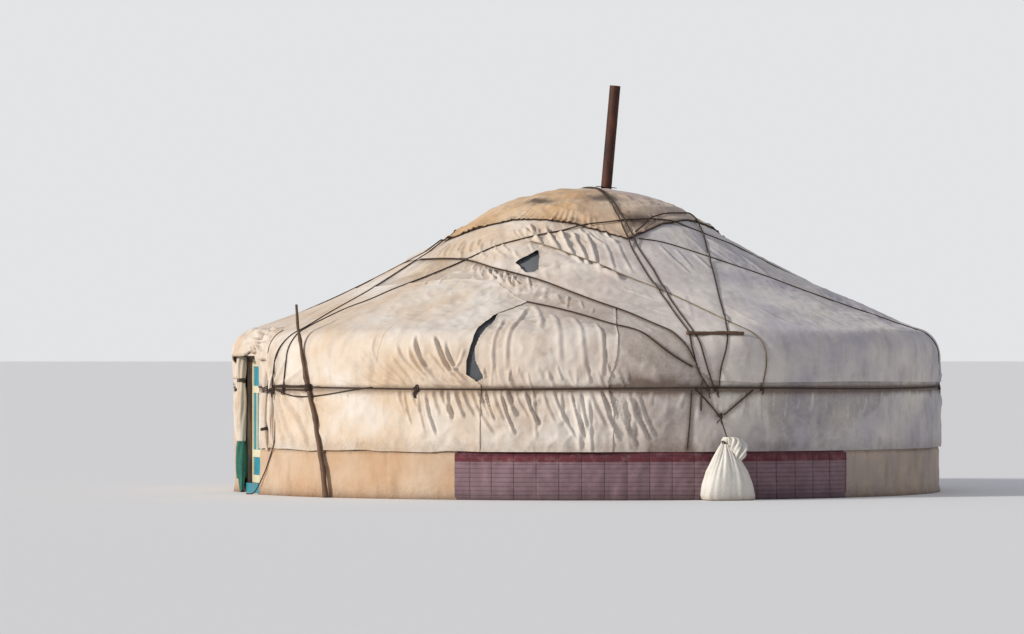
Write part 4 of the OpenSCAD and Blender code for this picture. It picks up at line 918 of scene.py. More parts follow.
def canvas_material(name, clean, brown, grey, dirt_and_shade):
    """Cotton canvas, weathered: matt, clouded and blotched with dirt, with a faint bloom
    at the edges. It is painted with light: brown where the low sun falls, grey in shade,
    and darker with dirt and with painted shade from the grime_and_shade attribute. Its threads
    are 1 mm apart and are drawn 13 mm apart, so that the weave still shows from a few metres."""
    made, tree = blank_material(name)
    laid = put(tree, "Attribute", whole=True, attribute_name="laid").outputs["Vector"]
    dirt_and_shade_mask = put(tree, "Attribute", whole=True, attribute_name="grime_and_shade").outputs["Fac"]
    sunlit_share = put(tree, "Attribute", whole=True, attribute_name="painted_sun_warmth").outputs["Fac"]
    where = put(tree, "TexCoord", whole=True).outputs["Object"]
    # Painted light: the grey is the canvas in shade, the brown the canvas in low sun
    tone = put(tree, "MixRGB", Fac=sunlit_share, Color1=linear(grey), Color2=linear(brown))
    cloud = put(tree, "TexNoise", Vector=where, Scale=1.3, Detail=6.0, Roughness=0.62)
    cloud = put(tree, "MapRange", Value=cloud, From_Min=0.38, From_Max=0.66)
    tone = put(tree, "MixRGB", Fac=cloud, Color1=tone, Color2=linear(clean))
    streak = put(tree, "Mapping", Vector=laid, Scale=(4.0, 1.3, 1.0))
    streak = put(tree, "TexNoise", Vector=streak, Scale=1.6, Detail=3.0, Roughness=0.5)
    streak = put(tree, "MapRange", Value=streak, From_Min=0.50, From_Max=0.80, To_Max=0.30)
    tone = put(tree, "MixRGB", blend_type="MULTIPLY", Fac=streak, Color1=tone, Color2=linear(dirt_and_shade))
    blots = put(tree, "TexNoise", Vector=where, Scale=4.2, Detail=9.0, Roughness=0.68)
    blots = put(tree, "MapRange", Value=blots, From_Min=0.62, From_Max=0.74, To_Max=0.38)
    tone = put(tree, "MixRGB", blend_type="MULTIPLY", Fac=blots, Color1=tone, Color2=linear(dirt_and_shade))
    grit = put(tree, "TexNoise", Vector=where, Scale=26.0, Detail=6.0, Roughness=0.7)
    # Grit, with dirt and painted shade from the grime_and_shade attribute
    soil_and_shade = put(tree, "Math", grit, 0.55, dirt_and_shade_mask, operation="MULTIPLY_ADD")
    soil_and_shade = put(tree, "MapRange", Value=soil_and_shade, From_Min=0.34, From_Max=1.1, To_Max=0.85)
    tone = put(tree, "MixRGB", blend_type="MULTIPLY", Fac=soil_and_shade, Color1=tone, Color2=linear(dirt_and_shade))
    warp, weft = (put(tree, "TexWave", Vector=laid, Scale=WAVE_PERIOD / CANVAS_THREAD,
                      Distortion=0.6, bands_direction=way) for way in "XY")
    weave = put(tree, "MixRGB", Fac=0.5, Color1=warp, Color2=weft)
    tone = put(tree, "MixRGB", blend_type="OVERLAY", Fac=0.05, Color1=tone, Color2=weave)
    wrinkle = put(tree, "TexNoise", Vector=where, Scale=13.0, Detail=7.0, Roughness=0.62,
                  Distortion=0.4)
    relief = put(tree, "Bump", Height=weave, Strength=0.12, Distance=0.0012)
    relief = put(tree, "Bump", Height=wrinkle, Strength=0.5, Distance=0.010, Normal=relief)
    surface(tree, Base_Color=tone, Roughness=0.86, Sheen_Weight=0.12, Normal=relief)
    return made


# Clean, brown, grey and dirt colours: the brown and the grey are painted sunlight and painted shade
roof_canvas = canvas_material("weathered cotton canvas", "#ded5c9", "#d2b898", "#b1adb3",
                              "#837060")
# Where the cut edges of the canvas run, as azimuth and s: both sides of the slit, the hole
# and the edge of the flap
SLIT_LEFT = [(61.3, 1.137), (57.2, 0.771), (56, 0.478), (55.8, 0.138), (55, -0.06), (54.9, -0.2),
             (56.2, -0.25), (57.2, -0.31), (57.2, -1.0)]
SLIT_RIGHT = [(57.4, 0.95), (57.3, 0.771), (57.6, 0.478), (57, 0.235), (56.3, 0.069), (56.4, -0.06),
              (57.7, -0.231), (56.4, -0.28), (56.4, -1.0)]
HOLE = [(52.4, 2.089), (57.2, 2.382), (58.9, 2.236), (60.4, 1.943), (59.5, 1.869),
        (57.4, 1.869), (54.1, 2.016)]
FLAP = [(79.4, 1.3), (78.6, 0.62), (78.4, 0.478), (78.4, 0.2), (78.1, 0.0), (77.7, -0.13),
        (76.9, -0.24), (76.8, -0.34), (77.6, -0.6), (77.4, -1.0)]
DOOR_SIDE = 6.2
# The bottom hem wanders by a centimetre or two
HEM_DROP = [(a, -1.0 - 0.008 * math.sin(a * 0.31) - 0.006 * math.sin(a * 1.3))
            for a in range(10, 56, 3)]
# The sheets overlap by this much at the seam and the hem
OVERLAP = 0.07
UNDER_SEAM = [(a, s - OVERLAP) for a, s in SEAM[:-1][::-1]]
UNDER_HEM = [(a, s + OVERLAP) for a, s in HEM_LINE]


def steps(*knots):
    """Azimuths or distances with the given steps between knots: start, step, end, ..."""
    line = [knots[0]]
    for step, end in zip(knots[1::2], knots[2::2]):
        count = max(1, round((end - line[-1]) / step))
        line += list(np.linspace(line[-1], end, count + 1)[1:])
    return np.array(line)


front_outline = ([(DOOR_SIDE, -1.0), (DOOR_SIDE, -0.18), (7.0, -0.07), (7.3, -0.004),
                  (0, -0.004)] + SEAM[:-1] + SLIT_LEFT + HEM_DROP[::-1])
front = spread("canvas_front", front_outline, steps(0, 0.365, DOOR_SIDE, 0.24, 32, 0.15, 61.5),
               steps(-1.05, 0.0125, 0.35, 0.0165, 1.75), 0.007, edge_lift=0.004)
middle_rest = (UNDER_SEAM + [(0, 2.32)] + UNDER_HEM[1:6] + [(78.0, 1.12), (79.2, 1.05)]
               + FLAP[1:])
middle_outline = SLIT_RIGHT[1:][::-1] + [(57.0, 0.9), (58.0, 1.06)] + middle_rest
middle = spread("canvas_middle", middle_outline, steps(0, 0.4, 30, 0.3, 54, 0.17, 79.5),
                steps(-1.05, 0.013, 0.35, 0.017, 2.35), 0.0, edge_lift=0.008)
side_outline = ([(75.2, -1.0), (75.4, -0.3), (76.6, 0.2), (77.2, 0.6), (77.4, 1.15),
                 (77.6, 1.2)] + UNDER_HEM[7:] + [(93, -0.02), (180, -0.02), (180, -1.0)])
side = spread("canvas_side", side_outline, steps(75.2, 0.3, 120, 0.42, 180),
              steps(-1.03, 0.018, 1.3), -0.003)
upper_outline = ([(0, 2.236)] + HEM_LINE[1:] + [
    (91.2, -0.18), (93, -0.26), (100, -0.285), (120, -0.275), (150, -0.29), (180, -0.28),
    (180, 3.3), (0, 3.3)])
upper = spread("canvas_upper", upper_outline, steps(0, 0.36, 163, 0.7, 180),
               steps(-0.32, 0.0195, 3.3), 0.008, edge_lift=0.006, hole=HOLE)
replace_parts(front, "canvas_wall_1", "canvas_roof_front")
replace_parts(side, "canvas_wall_2")
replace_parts(upper, "canvas_roof_back")


def mirrored(outline):
    """The same outline on the far side of the yurt."""
    return [(360 - a, s) for a, s in outline][::-1]


def mirrored_steps(*knots):
    """The same azimuths on the far side of the yurt."""
    return (360 - steps(*knots))[::-1]


far_front_outline = ([(7.1, -1.0), (7.1, -0.004), (0, -0.004)] + SEAM[:-1]
                     + [(61.3, 1.137), (57.4, 0.6), (57.2, -1.0)])
far_front = spread("canvas_far_front", mirrored(far_front_outline),
                   mirrored_steps(0, 0.9, 7.1, 0.62, 61.5), steps(-1.04, 0.033, 1.75), 0.007)
far_middle_outline = [(55.4, -1.0), (56.0, 0.6), (58.0, 1.06)] + middle_rest
far_middle = spread("canvas_far_middle", mirrored(far_middle_outline),
                    mirrored_steps(0, 0.66, 79.5), steps(-1.04, 0.033, 2.35), 0.0)
far_side = spread("canvas_far_side", mirrored(side_outline), mirrored_steps(75.2, 0.62, 180),
                  steps(-1.03, 0.033, 1.3), -0.003)
far_upper = spread("canvas_far_upper", mirrored(upper_outline), mirrored_steps(0, 0.72, 180),
                   steps(-0.32, 0.0195, 3.3), 0.008)
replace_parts(far_front, "canvas_wall_4")
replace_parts(far_side, "canvas_wall_3")


# Width as laid and how it is held, for the near sheets and again for the far ones
LAID = [(3.9, "stretched"), (3.2, "stretched"), (1.6, "hung"), (6.4, "draped")]
sheets = [front, middle, side, upper, far_front, far_middle, far_side, far_upper]
for made, (width, held) in zip(sheets, LAID * 2):
    dress(made, roof_canvas)

hem_azimuth, hem_at = smooth_route(HEM_LINE[1:])
hem_path = rope_path(hem_azimuth, hem_at, SEAM_ROPE_R, 0.006)
dress(tube("hem_rope", hem_path, SEAM_ROPE_R), dark_rope)

# ---------------------------------------------------------------- crown cover
# A square of canvas drawn over the crown and tied down by its corners. A cord in its hem
# gathers the edge into small pleats.
cover_azimuth = np.linspace(0, 360, 601)[:-1]
cover_share = np.concatenate([np.linspace(0.006, 0.72, 36), np.linspace(0.735, 1.0, 30)])
aa, tt = (v.ravel() for v in np.meshgrid(cover_azimuth, cover_share, indexing="ij"))
rr = tt * cover_edge(aa)
cover_s = s_at_radius(rr)
cover_points = place(aa, cover_s, cover_lift(aa, tt, rr))
index = np.arange(len(aa)).reshape(len(cover_azimuth), -1)
ahead = np.roll(index, -1, 0)
cover_faces = np.stack([index[:, :-1], index[:, 1:], ahead[:, 1:], ahead[:, :-1]],
                       -1).reshape(-1, 4)
# The pipe's hole is cut round its foot, a little off its middle
PIPE_FOOT, HOLE_OFF, PIPE_HOLE_R = np.array([-0.285, 0.3]), np.array([0.015, 0.03]), 0.075
face_mid = cover_points[cover_faces].mean(1)
pipe_gap = np.hypot(*(face_mid[:, :2] - PIPE_FOOT - HOLE_OFF).T)
cover_faces = [list(f) for f, gap in zip(cover_faces, pipe_gap) if gap > PIPE_HOLE_R]
cover_faces.append(list(index[::-1, 0]))
# Soot from the pipe: strength, azimuth and its spread, s and its spread
SOOT = [(0.95, 101, 9, 3.05, 0.16), (1.0, 38, 14, 3.5, 0.09), (0.95, 86, 15, 3.62, 0.12)]
a_wrapped = whole_azimuth(aa)
soot = 0.3 * np.clip((tt - 0.93) * 12, 0, 1)
for strength, azimuth, wide, s, tall in SOOT:
    soot += strength * np.exp(-((a_wrapped - azimuth) / wide) ** 2 - ((cover_s - s) / tall) ** 2)
# Painted light: the cover is painted warmer on the sunlit side by the door and greyer round the
# side in shade
crown_cover = piece("crown_cover_canvas", cover_points, cover_faces, {
    "laid": np.stack([cover_points[:, 0], cover_points[:, 1], 0 * aa], 1),
    "grime_and_shade": np.clip(soot, 0, 1), "painted_sun_warmth": np.clip(0.95 - (a_wrapped - 60) / 120, 0.25, 1)})
# Its brown and grey are painted sunlight and painted shade
cover_canvas = canvas_material("old crown cover canvas", "#d3bfa4", "#c59a66", "#a8a0a8",
                               "#524030")
dress(crown_cover, cover_canvas)
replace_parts(crown_cover, "crown_cover")
hem_ring = np.linspace(0, 360, 421)[:-1]
hem_radius = cover_edge(hem_ring)
cord_lift = cover_lift(hem_ring, 0 * hem_ring + 1, hem_radius) + 0.004
dress(tube("crown_cover_cord", place(hem_ring, s_at_radius(hem_radius), cord_lift), GIRTH_R, 6,
           closed=True), dark_rope)

# ---------------------------------------------------------------- skirts round the foot
# A plain canvas skirt from the door, a quilt beyond it and plain canvas round the back,
# tucked under the hem of the wall canvas and let down to the ground to stop the wind.


# The skirt's height, and where and how deep its top goes in under the hem
SKIRT_TOP, TUCK_FROM, TUCK_OVER, TUCK_DEPTH = 0.53, 0.462, 0.03, 0.002


def skirt(name, azimuths, row, lift):
    """A skirt from the ground up in rows of this height, standing off the wall by lift."""
    rows = steps(0.0, row, SKIRT_TOP)
    aa, zz = (v.ravel() for v in np.meshgrid(azimuths, rows, indexing="ij"))
    tucked = np.clip((zz - TUCK_FROM) / TUCK_OVER, 0, 1)
    out = lift(aa, zz) * (1 - tucked) - TUCK_DEPTH * tucked
    points = compass(aa, WALL_R + out - draw_in(aa, zz - EAVE), zz)
    laid = np.stack([np.radians(aa) * WALL_R, zz, 0 * zz], 1)
    # Dirt at the foot, and a band of painted shade just under the hem of the wall canvas
    dirt_and_shade = np.clip(0.75 * np.exp(-zz / 0.07) + 0.25 * np.exp(-((zz - 0.49) / 0.03) ** 2), 0, 1)
    return piece(name, points, grid_quads((len(azimuths), len(rows))),
                 {"laid": laid, "grime_and_shade": dirt_and_shade, "painted_sun_warmth": painted_sun_warmth(aa, 0 * zz)})


hang = waves(31, 0.9, 0.35, squash=(1, 1, 5))
ripple = waves(32, 0.28, 0.12, squash=(1, 1, 3))
rumple = waves(33, 0.16, 0.07)


def plain_skirt_lift(azimuth, z):
    """Canvas that hangs in soft waves and turns out a little where it meets the ground."""
    points = compass(azimuth, WALL_R, z)
    free = np.clip((0.5 - z) / 0.3, 0, 1)
    lift = (0.010 + 0.006 * free * hang(points) + 0.003 * free * ripple(points)
            + 0.0015 * rumple(points))
    lift += 0.012 * np.clip((0.08 - z) / 0.08, 0, 1)
    return np.clip(lift, 0.002, 0.05)


QUILT_CELL, QUILT_RIB, BORDER_Z = 0.235, 0.046, 0.395


def quilt_lift(azimuth, z):
    """Stuffed cells, drawn in at their seams, with flat ribs up to the border."""
    points = compass(azimuth, WALL_R, z)
    across = np.radians(azimuth) * WALL_R
    seam = np.abs(np.mod(across / QUILT_CELL, 1) - 0.5) * 2
    puff = np.sqrt(np.clip(1 - seam ** 6, 0, 1))
    rib = np.abs(np.sin(math.pi * (z + 0.004 * hang(points)) / QUILT_RIB)) ** 0.6
    lift = 0.010 + 0.009 * puff * (0.45 + 0.55 * np.where(z > BORDER_Z + 0.006, 0.9, rib))
    lift += (0.005 * hang(points) * np.clip((0.5 - z) / 0.3, 0, 1) + 0.0022 * ripple(points)
             + 0.0012 * rumple(points))
    return np.clip(lift, 0.003, 0.05)


front_skirt = skirt("skirt_front_canvas", steps(6.3, 0.4, 53.3), 0.02, plain_skirt_lift)
quilt_skirt = skirt("skirt_quilt_cloth", steps(53.0, 0.24, 118.0), 0.0095, quilt_lift)
back_skirt = skirt("skirt_back_canvas", steps(117.6, 0.6, 352.9), 0.024, plain_skirt_lift)
# Its brown and grey are painted sunlight and painted shade, mixed as on the walls
skirt_canvas = canvas_material("sand coloured skirt canvas", "#c8b096", "#c09a74", "#a79a90",
                               "#75604e")

# Faded mauve cotton, stitched in ribbed cells under a maroon border: soft and matt, with a
# bloom at the edges. Its threads are drawn 5 mm apart, coarser than they are.
QUILT_THREAD = 0.005
quilt_cloth, tree = blank_material("quilted cotton with a maroon border")
laid = put(tree, "Attribute", whole=True, attribute_name="laid").outputs["Vector"]
dirt_and_shade_mask = put(tree, "Attribute", whole=True, attribute_name="grime_and_shade").outputs["Fac"]
parts = put(tree, "SeparateXYZ", whole=True, Vector=laid)
fade = put(tree, "TexNoise", Vector=laid, Scale=3.0, Detail=5.0, Roughness=0.6)
mauve = put(tree, "MixRGB", Fac=fade, Color1=linear("#644a50"), Color2=linear("#947a80"))
band = put(tree, "MapRange", Value=parts.outputs["Y"], From_Min=BORDER_Z - 0.003,
           From_Max=BORDER_Z + 0.003)
border = put(tree, "MixRGB", Fac=fade, Color1=linear("#4f1f27"), Color2=linear("#76313a"))
tone = put(tree, "MixRGB", Fac=band, Color1=mauve, Color2=border)
# Painted shade in the dips along the seams of the cells and of the ribs: direction, spacing, width,
# depth and colour
for way, apart, share, depth, colour in (("X", QUILT_CELL, 0.06, 1.0, "#6a4a50"),
                                         ("Y", QUILT_RIB, 0.22, 0.75, "#7d5a60")):
    each = put(tree, "Math", parts.outputs[way], 1 / apart, operation="MULTIPLY")
    each = put(tree, "Math", each, operation="FRACT")
    seam_shade = put(tree, "MapRange", Value=each, From_Min=0.0, From_Max=share, To_Min=depth,
                   To_Max=0.0)
    tone = put(tree, "MixRGB", blend_type="MULTIPLY", Fac=seam_shade, Color1=tone,
               Color2=linear(colour))
old = put(tree, "TexNoise", Vector=laid, Scale=9.0, Detail=8.0, Roughness=0.7)
old = put(tree, "MapRange", Value=old, From_Min=0.5, From_Max=0.75, To_Max=0.5)
tone = put(tree, "MixRGB", Fac=old, Color1=tone, Color2=linear("#a08280"))
# Dirt at the foot and painted shade under the hem of the wall canvas
tone = put(tree, "MixRGB", blend_type="MULTIPLY", Fac=dirt_and_shade_mask, Color1=tone, Color2=linear("#6e5647"))
thread = put(tree, "TexWave", Vector=laid, Scale=WAVE_PERIOD / QUILT_THREAD, Distortion=0.8)
relief = put(tree, "Bump", Height=thread, Strength=0.3, Distance=0.001)
surface(tree, Base_Color=tone, Roughness=0.9, Sheen_Weight=0.2, Normal=relief)

for made, material, slot, node in (
        (front_skirt, skirt_canvas, "skirt_canvas", "skirt_front"),
        (quilt_skirt, quilt_cloth, "quilt", "skirt_quilt"),
        (back_skirt, skirt_canvas, "skirt_canvas", "skirt_back")):
    dress(made, material)
    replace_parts(made, node)

# ---------------------------------------------------------------- hood, roll and cloth at the door
# A canvas flap over the door head, knotted at one side; the door's own canvas rolled up
# and tied beside the left post; a green cloth wound round the foot of the roll.
HOOD_KNOT = (8.0, 0.105)
HOOD_LEFT, HOOD_RIGHT, HOOD_TOP = -9.8, 12.4, 0.38


def hood_low(azimuth):
    """The hood's lower edge: an eyebrow over the leaf, long at the roll's side."""
    left = np.clip((-5.7 - azimuth) / 1.3, 0, 1)
    right = np.clip((azimuth - 7.6) / 2.0, 0, 1)
    brow = 0.045 * np.exp(-((azimuth - 6.4) / 2.4) ** 2)
    return -0.010 + brow - 0.25 * left * left * (3 - 2 * left) - 0.04 * right


hood_across, hood_up = np.linspace(HOOD_LEFT, HOOD_RIGHT, 210), np.linspace(0, 1, 90)
hood_a, hood_t = (v.ravel() for v in np.meshgrid(hood_across, hood_up, indexing="ij"))
hood_s = hood_low(hood_a) + hood_t * (HOOD_TOP + 0.05 * np.sin(hood_a * 0.9) - hood_low(hood_a))
hood_points = place(hood_a, hood_s, 0)
across_knot, above_knot = np.radians(hood_a - HOOD_KNOT[0]) * WALL_R, hood_s - HOOD_KNOT[1]
to_knot = np.hypot(across_knot, above_knot)
bearing = np.arctan2(above_knot, across_knot)
pull = np.exp(-(to_knot / 0.24) ** 2)
rays = np.cos(bearing * 8 + 1.7 * np.sin(bearing * 3) + 6 * to_knot)
hood_lift = (0.030 + 0.009 * drape(hood_points * 2) + 0.006 * crumple(hood_points * 1.5)
             + 0.020 * pull * rays * np.clip(to_knot / 0.05, 0, 1)
             + 0.034 * np.exp(-(to_knot / 0.05) ** 2)
             + 0.012 * pull * np.cos(hood_s * 95 + hood_a * 0.7))
hood_lift += 0.018 * np.exp(-((hood_t - 0.03) / 0.035) ** 2)
hood_rim = (np.clip((1 - hood_t) * 4, 0, 1) * np.clip((hood_a + 10) * 1.2, 0.1, 1)
            * np.clip((12.6 - hood_a) * 0.7, 0.1, 1))
hood_lift *= 0.30 + 0.70 * hood_rim
# Its grime_and_shade is darker along the lower edge, and holds painted shade in the troughs of the
# folds that run from the knot
hood = piece("door_hood_canvas", place(hood_a, hood_s, np.maximum(hood_lift, 0.012) + 0.012),
             grid_quads((len(hood_across), len(hood_up))),
             {"laid": np.stack([np.radians(hood_a) * WALL_R, hood_s, 0 * hood_s], 1),
              "grime_and_shade": np.clip(0.45 * np.exp(-(hood_t / 0.05) ** 2)
                               + 0.45 * pull * (rays < -0.2), 0, 1),
              "painted_sun_warmth": 0.85 + 0 * hood_s})
dress(hood, roof_canvas)
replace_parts(hood, "door_hood")


def bundle(name, axis, radii, lobes, depth, seed, turn, sides=40, rings=70, squash=1.0,
           facing=0.0):
    """Cloth gathered into a bundle along an axis of points: a tube whose section has
    irregular lobes that drift as they run down it."""
    axis, radii = np.array(axis, float), np.array(radii, float)
    run = run_along(axis)
    at = np.linspace(0, run[-1], rings)
    middle = np.stack([np.interp(at, run, axis[:, k]) for k in range(3)], 1)
    radius = np.interp(at, run, radii)
    for _ in range(2):
        radius = np.convolve(np.pad(radius, 2, mode="edge"), np.ones(5) / 5, "valid")
    rng = np.random.default_rng(seed)
    angle = np.linspace(0, 2 * math.pi, sides, endpoint=False)
    aa, vv = np.meshgrid(angle, at, indexing="xy")
    wave = np.zeros_like(aa)
    for _ in range(5):
        count = lobes + rng.integers(-lobes // 2, lobes)
        wave += np.cos(count * (aa + turn * vv) + rng.uniform(0, 6)
                       + 1.2 * np.sin(vv * rng.uniform(4, 11)))
    wave = 1 + depth * wave / 3
    rr = radius[:, None] * wave
    face = math.radians(facing)
    u = np.array([math.cos(face), math.sin(face), 0])
    v = np.array([-math.sin(face), math.cos(face), 0])
    points = middle[:, None, :] + rr[..., None] * (
        np.cos(aa)[..., None] * u + squash * np.sin(aa)[..., None] * v)
    along = vv.ravel()
    laid = np.stack([(aa * radius[:, None]).ravel(), along, 0 * along], 1)
    # Painted shade: darker in the dips between the lobes, where the wave is low
    return piece(name, points.reshape(-1, 3), ring_faces(rings, sides), {
        "laid": laid, "grime_and_shade": np.clip(0.10 + 0.9 * (0.97 - wave.ravel()), 0, 0.5),
        "painted_sun_warmth": 0.85 + 0 * along})


roll_low, roll_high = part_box("canvas_roll")
roll_x, roll_y = (roll_low.x + roll_high.x) / 2, (roll_low.y + roll_high.y) / 2
ROLL_TIE_Z, ROLL_TIE_RADIUS = 1.2, 0.049
roll_heights = (roll_high.z, 1.42, 1.30, ROLL_TIE_Z, 1.14, 1.0, 0.72, roll_low.z)
roll = bundle("rolled_door_canvas", [(roll_x, roll_y, z) for z in roll_heights],
              [0.052, 0.062, 0.056, 0.040, 0.052, 0.060, 0.056, 0.046], 4, 0.11, 41, turn=1.2)
dress(roll, roof_canvas)
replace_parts(roll, "canvas_roll")
tie_turns = np.linspace(0, 3.2 * 2 * math.pi, 90)
tie_path = np.stack([roll_x + ROLL_TIE_RADIUS * np.cos(tie_turns),
                     roll_y + ROLL_TIE_RADIUS * np.sin(tie_turns),
                     ROLL_TIE_Z + 0.004 + 0.0022 * tie_turns], 1)
dress(tube("roll_tie", tie_path, LASHING_R, 6), dark_rope)
cloth_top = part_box("green_cloth")[1].z
cloth = bundle("green_cotton_cloth",
               [(roll_x, roll_y, z) for z in (cloth_top, 0.47, 0.36, 0.24, 0.15)],
               [0.050, 0.062, 0.066, 0.060, 0.052], 4, 0.12, 42, turn=1.0, rings=40)
# The cloth's two corners hang down as points
for number, side_way in enumerate((-1, 1)):
    point = bundle(f"green_cloth_point_{number + 1}",
                   [(roll_x + side_way * off, roll_y, z)
                    for off, z in ((0.024, 0.24), (0.028, 0.12), (0.026, 0.02))],
                   [0.036, 0.030, 0.016], 4, 0.2, 43 + number, turn=0.0, rings=30)
    point.parent = cloth
# Dyed cotton, faded in patches: soft and matt. Its threads are drawn 4 mm apart, coarser
# than they are.
GREEN_THREAD = 0.004
green_cotton, tree = blank_material("green cotton cloth")
laid = put(tree, "Attribute", whole=True, attribute_name="laid").outputs["Vector"]
dirt_and_shade_mask = put(tree, "Attribute", whole=True, attribute_name="grime_and_shade").outputs["Fac"]
fade = put(tree, "TexNoise", Vector=laid, Scale=14.0, Detail=5.0)
tone = put(tree, "MixRGB", Fac=fade, Color1=linear("#1a5147"), Color2=linear("#347c66"))
# Painted shade in the dips of the cloth's folds darkens it
tone = put(tree, "MixRGB", blend_type="MULTIPLY", Fac=dirt_and_shade_mask, Color1=tone, Color2=linear("#3b4a40"))
weave = put(tree, "TexWave", Vector=laid, Scale=WAVE_PERIOD / GREEN_THREAD, Distortion=0.5)
relief = put(tree, "Bump", Height=weave, Strength=0.3, Distance=0.001)
surface(tree, Base_Color=tone, Roughness=0.85, Sheen_Weight=0.2, Normal=relief)
dress(cloth, green_cotton)
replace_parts(cloth, "green_cloth")
for child in cloth.children:
    child.data.materials.append(green_cotton)

# The slack of the front canvas is bunched beside the right door post and lashed there.
# Azimuth, distance out, height and radius down each bunch, and its seed
BUNCH = {
    "canvas_bunch_by_door": ([
        (12.0, 0.020, 1.33, 0.030), (12.0, 0.036, 1.22, 0.046), (11.9, 0.030, 1.135, 0.030),
        (12.0, 0.046, 1.00, 0.052), (11.8, 0.046, 0.84, 0.056), (11.9, 0.040, 0.70, 0.048),
        (12.2, 0.030, 0.56, 0.040), (12.4, 0.018, 0.48, 0.020)], 51),
    "canvas_bunch_second": ([
        (13.9, 0.014, 1.30, 0.020), (13.8, 0.026, 1.20, 0.034), (13.5, 0.024, 1.12, 0.024),
        (13.8, 0.032, 0.97, 0.042), (13.6, 0.028, 0.80, 0.040), (13.9, 0.018, 0.62, 0.026),
        (14.2, 0.010, 0.54, 0.012)], 52),
    "canvas_bunch_far_side": ([
        (-7.2, -0.030, 1.51, 0.062), (-7.6, -0.012, 1.32, 0.052), (-7.7, -0.020, 1.14, 0.036),
        (-7.5, -0.008, 0.98, 0.048), (-7.7, -0.010, 0.76, 0.046), (-7.6, -0.018, 0.56, 0.030)],
        53)}
for bunch_name, (line, seed) in BUNCH.items():
    bunch = bundle(bunch_name, [compass(a, WALL_R + out, z) for a, out, z, radius in line],
                   [row[3] for row in line], 4, 0.17, seed, turn=2.2, rings=80, squash=0.9)
    dress(bunch, roof_canvas)
    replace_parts(bunch, "canvas_wall_4" if bunch_name.endswith("far_side") else "canvas_wall_1")
# Lashings round the bunches: from and to which height, azimuth and radius
for number, (low_z, high_z, azimuth, size) in enumerate((
        (1.105, 1.175, 12.1, 0.044), (0.70, 0.735, 12.0, 0.052), (1.10, 1.15, 13.6, 0.034),
        (1.115, 1.15, -7.7, 0.042))):
    turns = np.linspace(0, 2 * math.pi * 3.5, 90)
    centre = compass(azimuth, WALL_R + (0.032 if azimuth > 0 else -0.018), 1.0)
    lashing = np.stack([
        centre[0] + size * np.cos(turns), centre[1] + size * np.sin(turns),
        low_z + (high_z - low_z) * turns / turns[-1] + 0.012 * np.sin(turns)], 1)
    dress(tube(f"bunch_lashing_{number + 1}", lashing, LASHING_R, 6), dark_rope)

# ------------------------------------------------------- leaning pole, stick and spreader bar
# Crooked poles of willow, bark worn off, lashed to the girth rope or slipped under the
# straps to keep the covers from lifting.


GRAIN = 0.012


def wood_material(name, light, dark, roughness=0.72, axis="Z"):
    """Wood, dull to the eye: grain lines run along the piece. They are 1 or 2 mm apart and
    are drawn 12 mm apart, so that they show."""
    made, tree = blank_material(name)
    where = put(tree, "TexCoord", whole=True).outputs["Object"]
    along = {"Z": (1, 1, 0.06), "X": (0.06, 1, 1), "Y": (1, 0.06, 1)}[axis]
    drawn = put(tree, "Mapping", Vector=where, Scale=along)
    lines = put(tree, "TexNoise", Vector=drawn, Scale=1 / GRAIN, Detail=5.0, Roughness=0.6)
    broad_tone = put(tree, "TexNoise", Vector=where, Scale=5.0, Detail=3.0)
    tone = put(tree, "MixRGB", Fac=lines, Color1=linear(dark), Color2=linear(light))
    tone = put(tree, "MixRGB", blend_type="OVERLAY", Fac=0.45, Color1=tone, Color2=broad_tone)
    relief = put(tree, "Bump", Height=lines, Strength=0.5, Distance=0.002)
    surface(tree, Base_Color=tone, Roughness=roughness, Normal=relief)
    return made


willow = wood_material("weathered willow pole", "#7d5d45", "#33241b")
# The pole rests on the girth rope: a seat, the rope's thickness and half of the pole
POLE_SEAT, POLE_HALF = 0.0003, 0.0236
lean_r = WALL_R + POLE_SEAT + 2 * GIRTH_R + POLE_HALF
# Azimuth, distance out, height in metres and radius in millimetres up the pole
POLE = np.array([(29.6, 0.040, 0.0, 34), (29.2, 0.034, 0.16, 31), (28.4, 0.020, 0.42, 29),
                 (27.2, 0.010, 0.70, 27), (25.9, 0.002, 0.96, 26), (24.9, 0, 1.15, 24),
                 (23.8, 0.004, 1.40, 22), (22.6, 0.006, 1.72, 19), (21.9, 0.002, 2.04, 15)])
pole_z = np.linspace(0, POLE[-1, 2], 90)
pole_a, pole_o, pole_r = (np.interp(pole_z, POLE[:, 2], POLE[:, k]) for k in (0, 1, 3))
pole_r = pole_r / 1000
soften = np.ones(9) / 9
pole_a, pole_o = (np.convolve(np.pad(v, 4, mode="edge"), soften, "valid") for v in (pole_a, pole_o))
pole_a = pole_a + 0.10 * np.sin(pole_z * 9) + 0.05 * np.sin(pole_z * 23 + 1)
knots = sum(np.exp(-((pole_z - k) / 0.025) ** 2) for k in (0.31, 0.83, 1.27, 1.66))
pole = tube("leaning_pole_willow", compass(pole_a, lean_r + pole_o, pole_z),
            pole_r * (0.93 + 0.05 * np.sin(pole_z * 31)) + 0.004 * knots, 14)
dress(pole, willow)
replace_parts(pole, "leaning_pole")
STICK_AZIMUTH, STICK_HALF, STICK_Z = 26.1, 0.085, EAVE + GIRTH_S + 0.0153
stick_at = np.linspace(-STICK_HALF, STICK_HALF, 16)
stick_path = (compass(STICK_AZIMUTH, WALL_R + 0.012, STICK_Z)
              + stick_at[:, None] * compass(STICK_AZIMUTH + 90, 1.0, 0.0)
              + UP * (0.004 * np.sin(stick_at * 30))[:, None])
grey_stick = wood_material("grey dry stick", "#8b8177", "#5c534b", axis="Y")
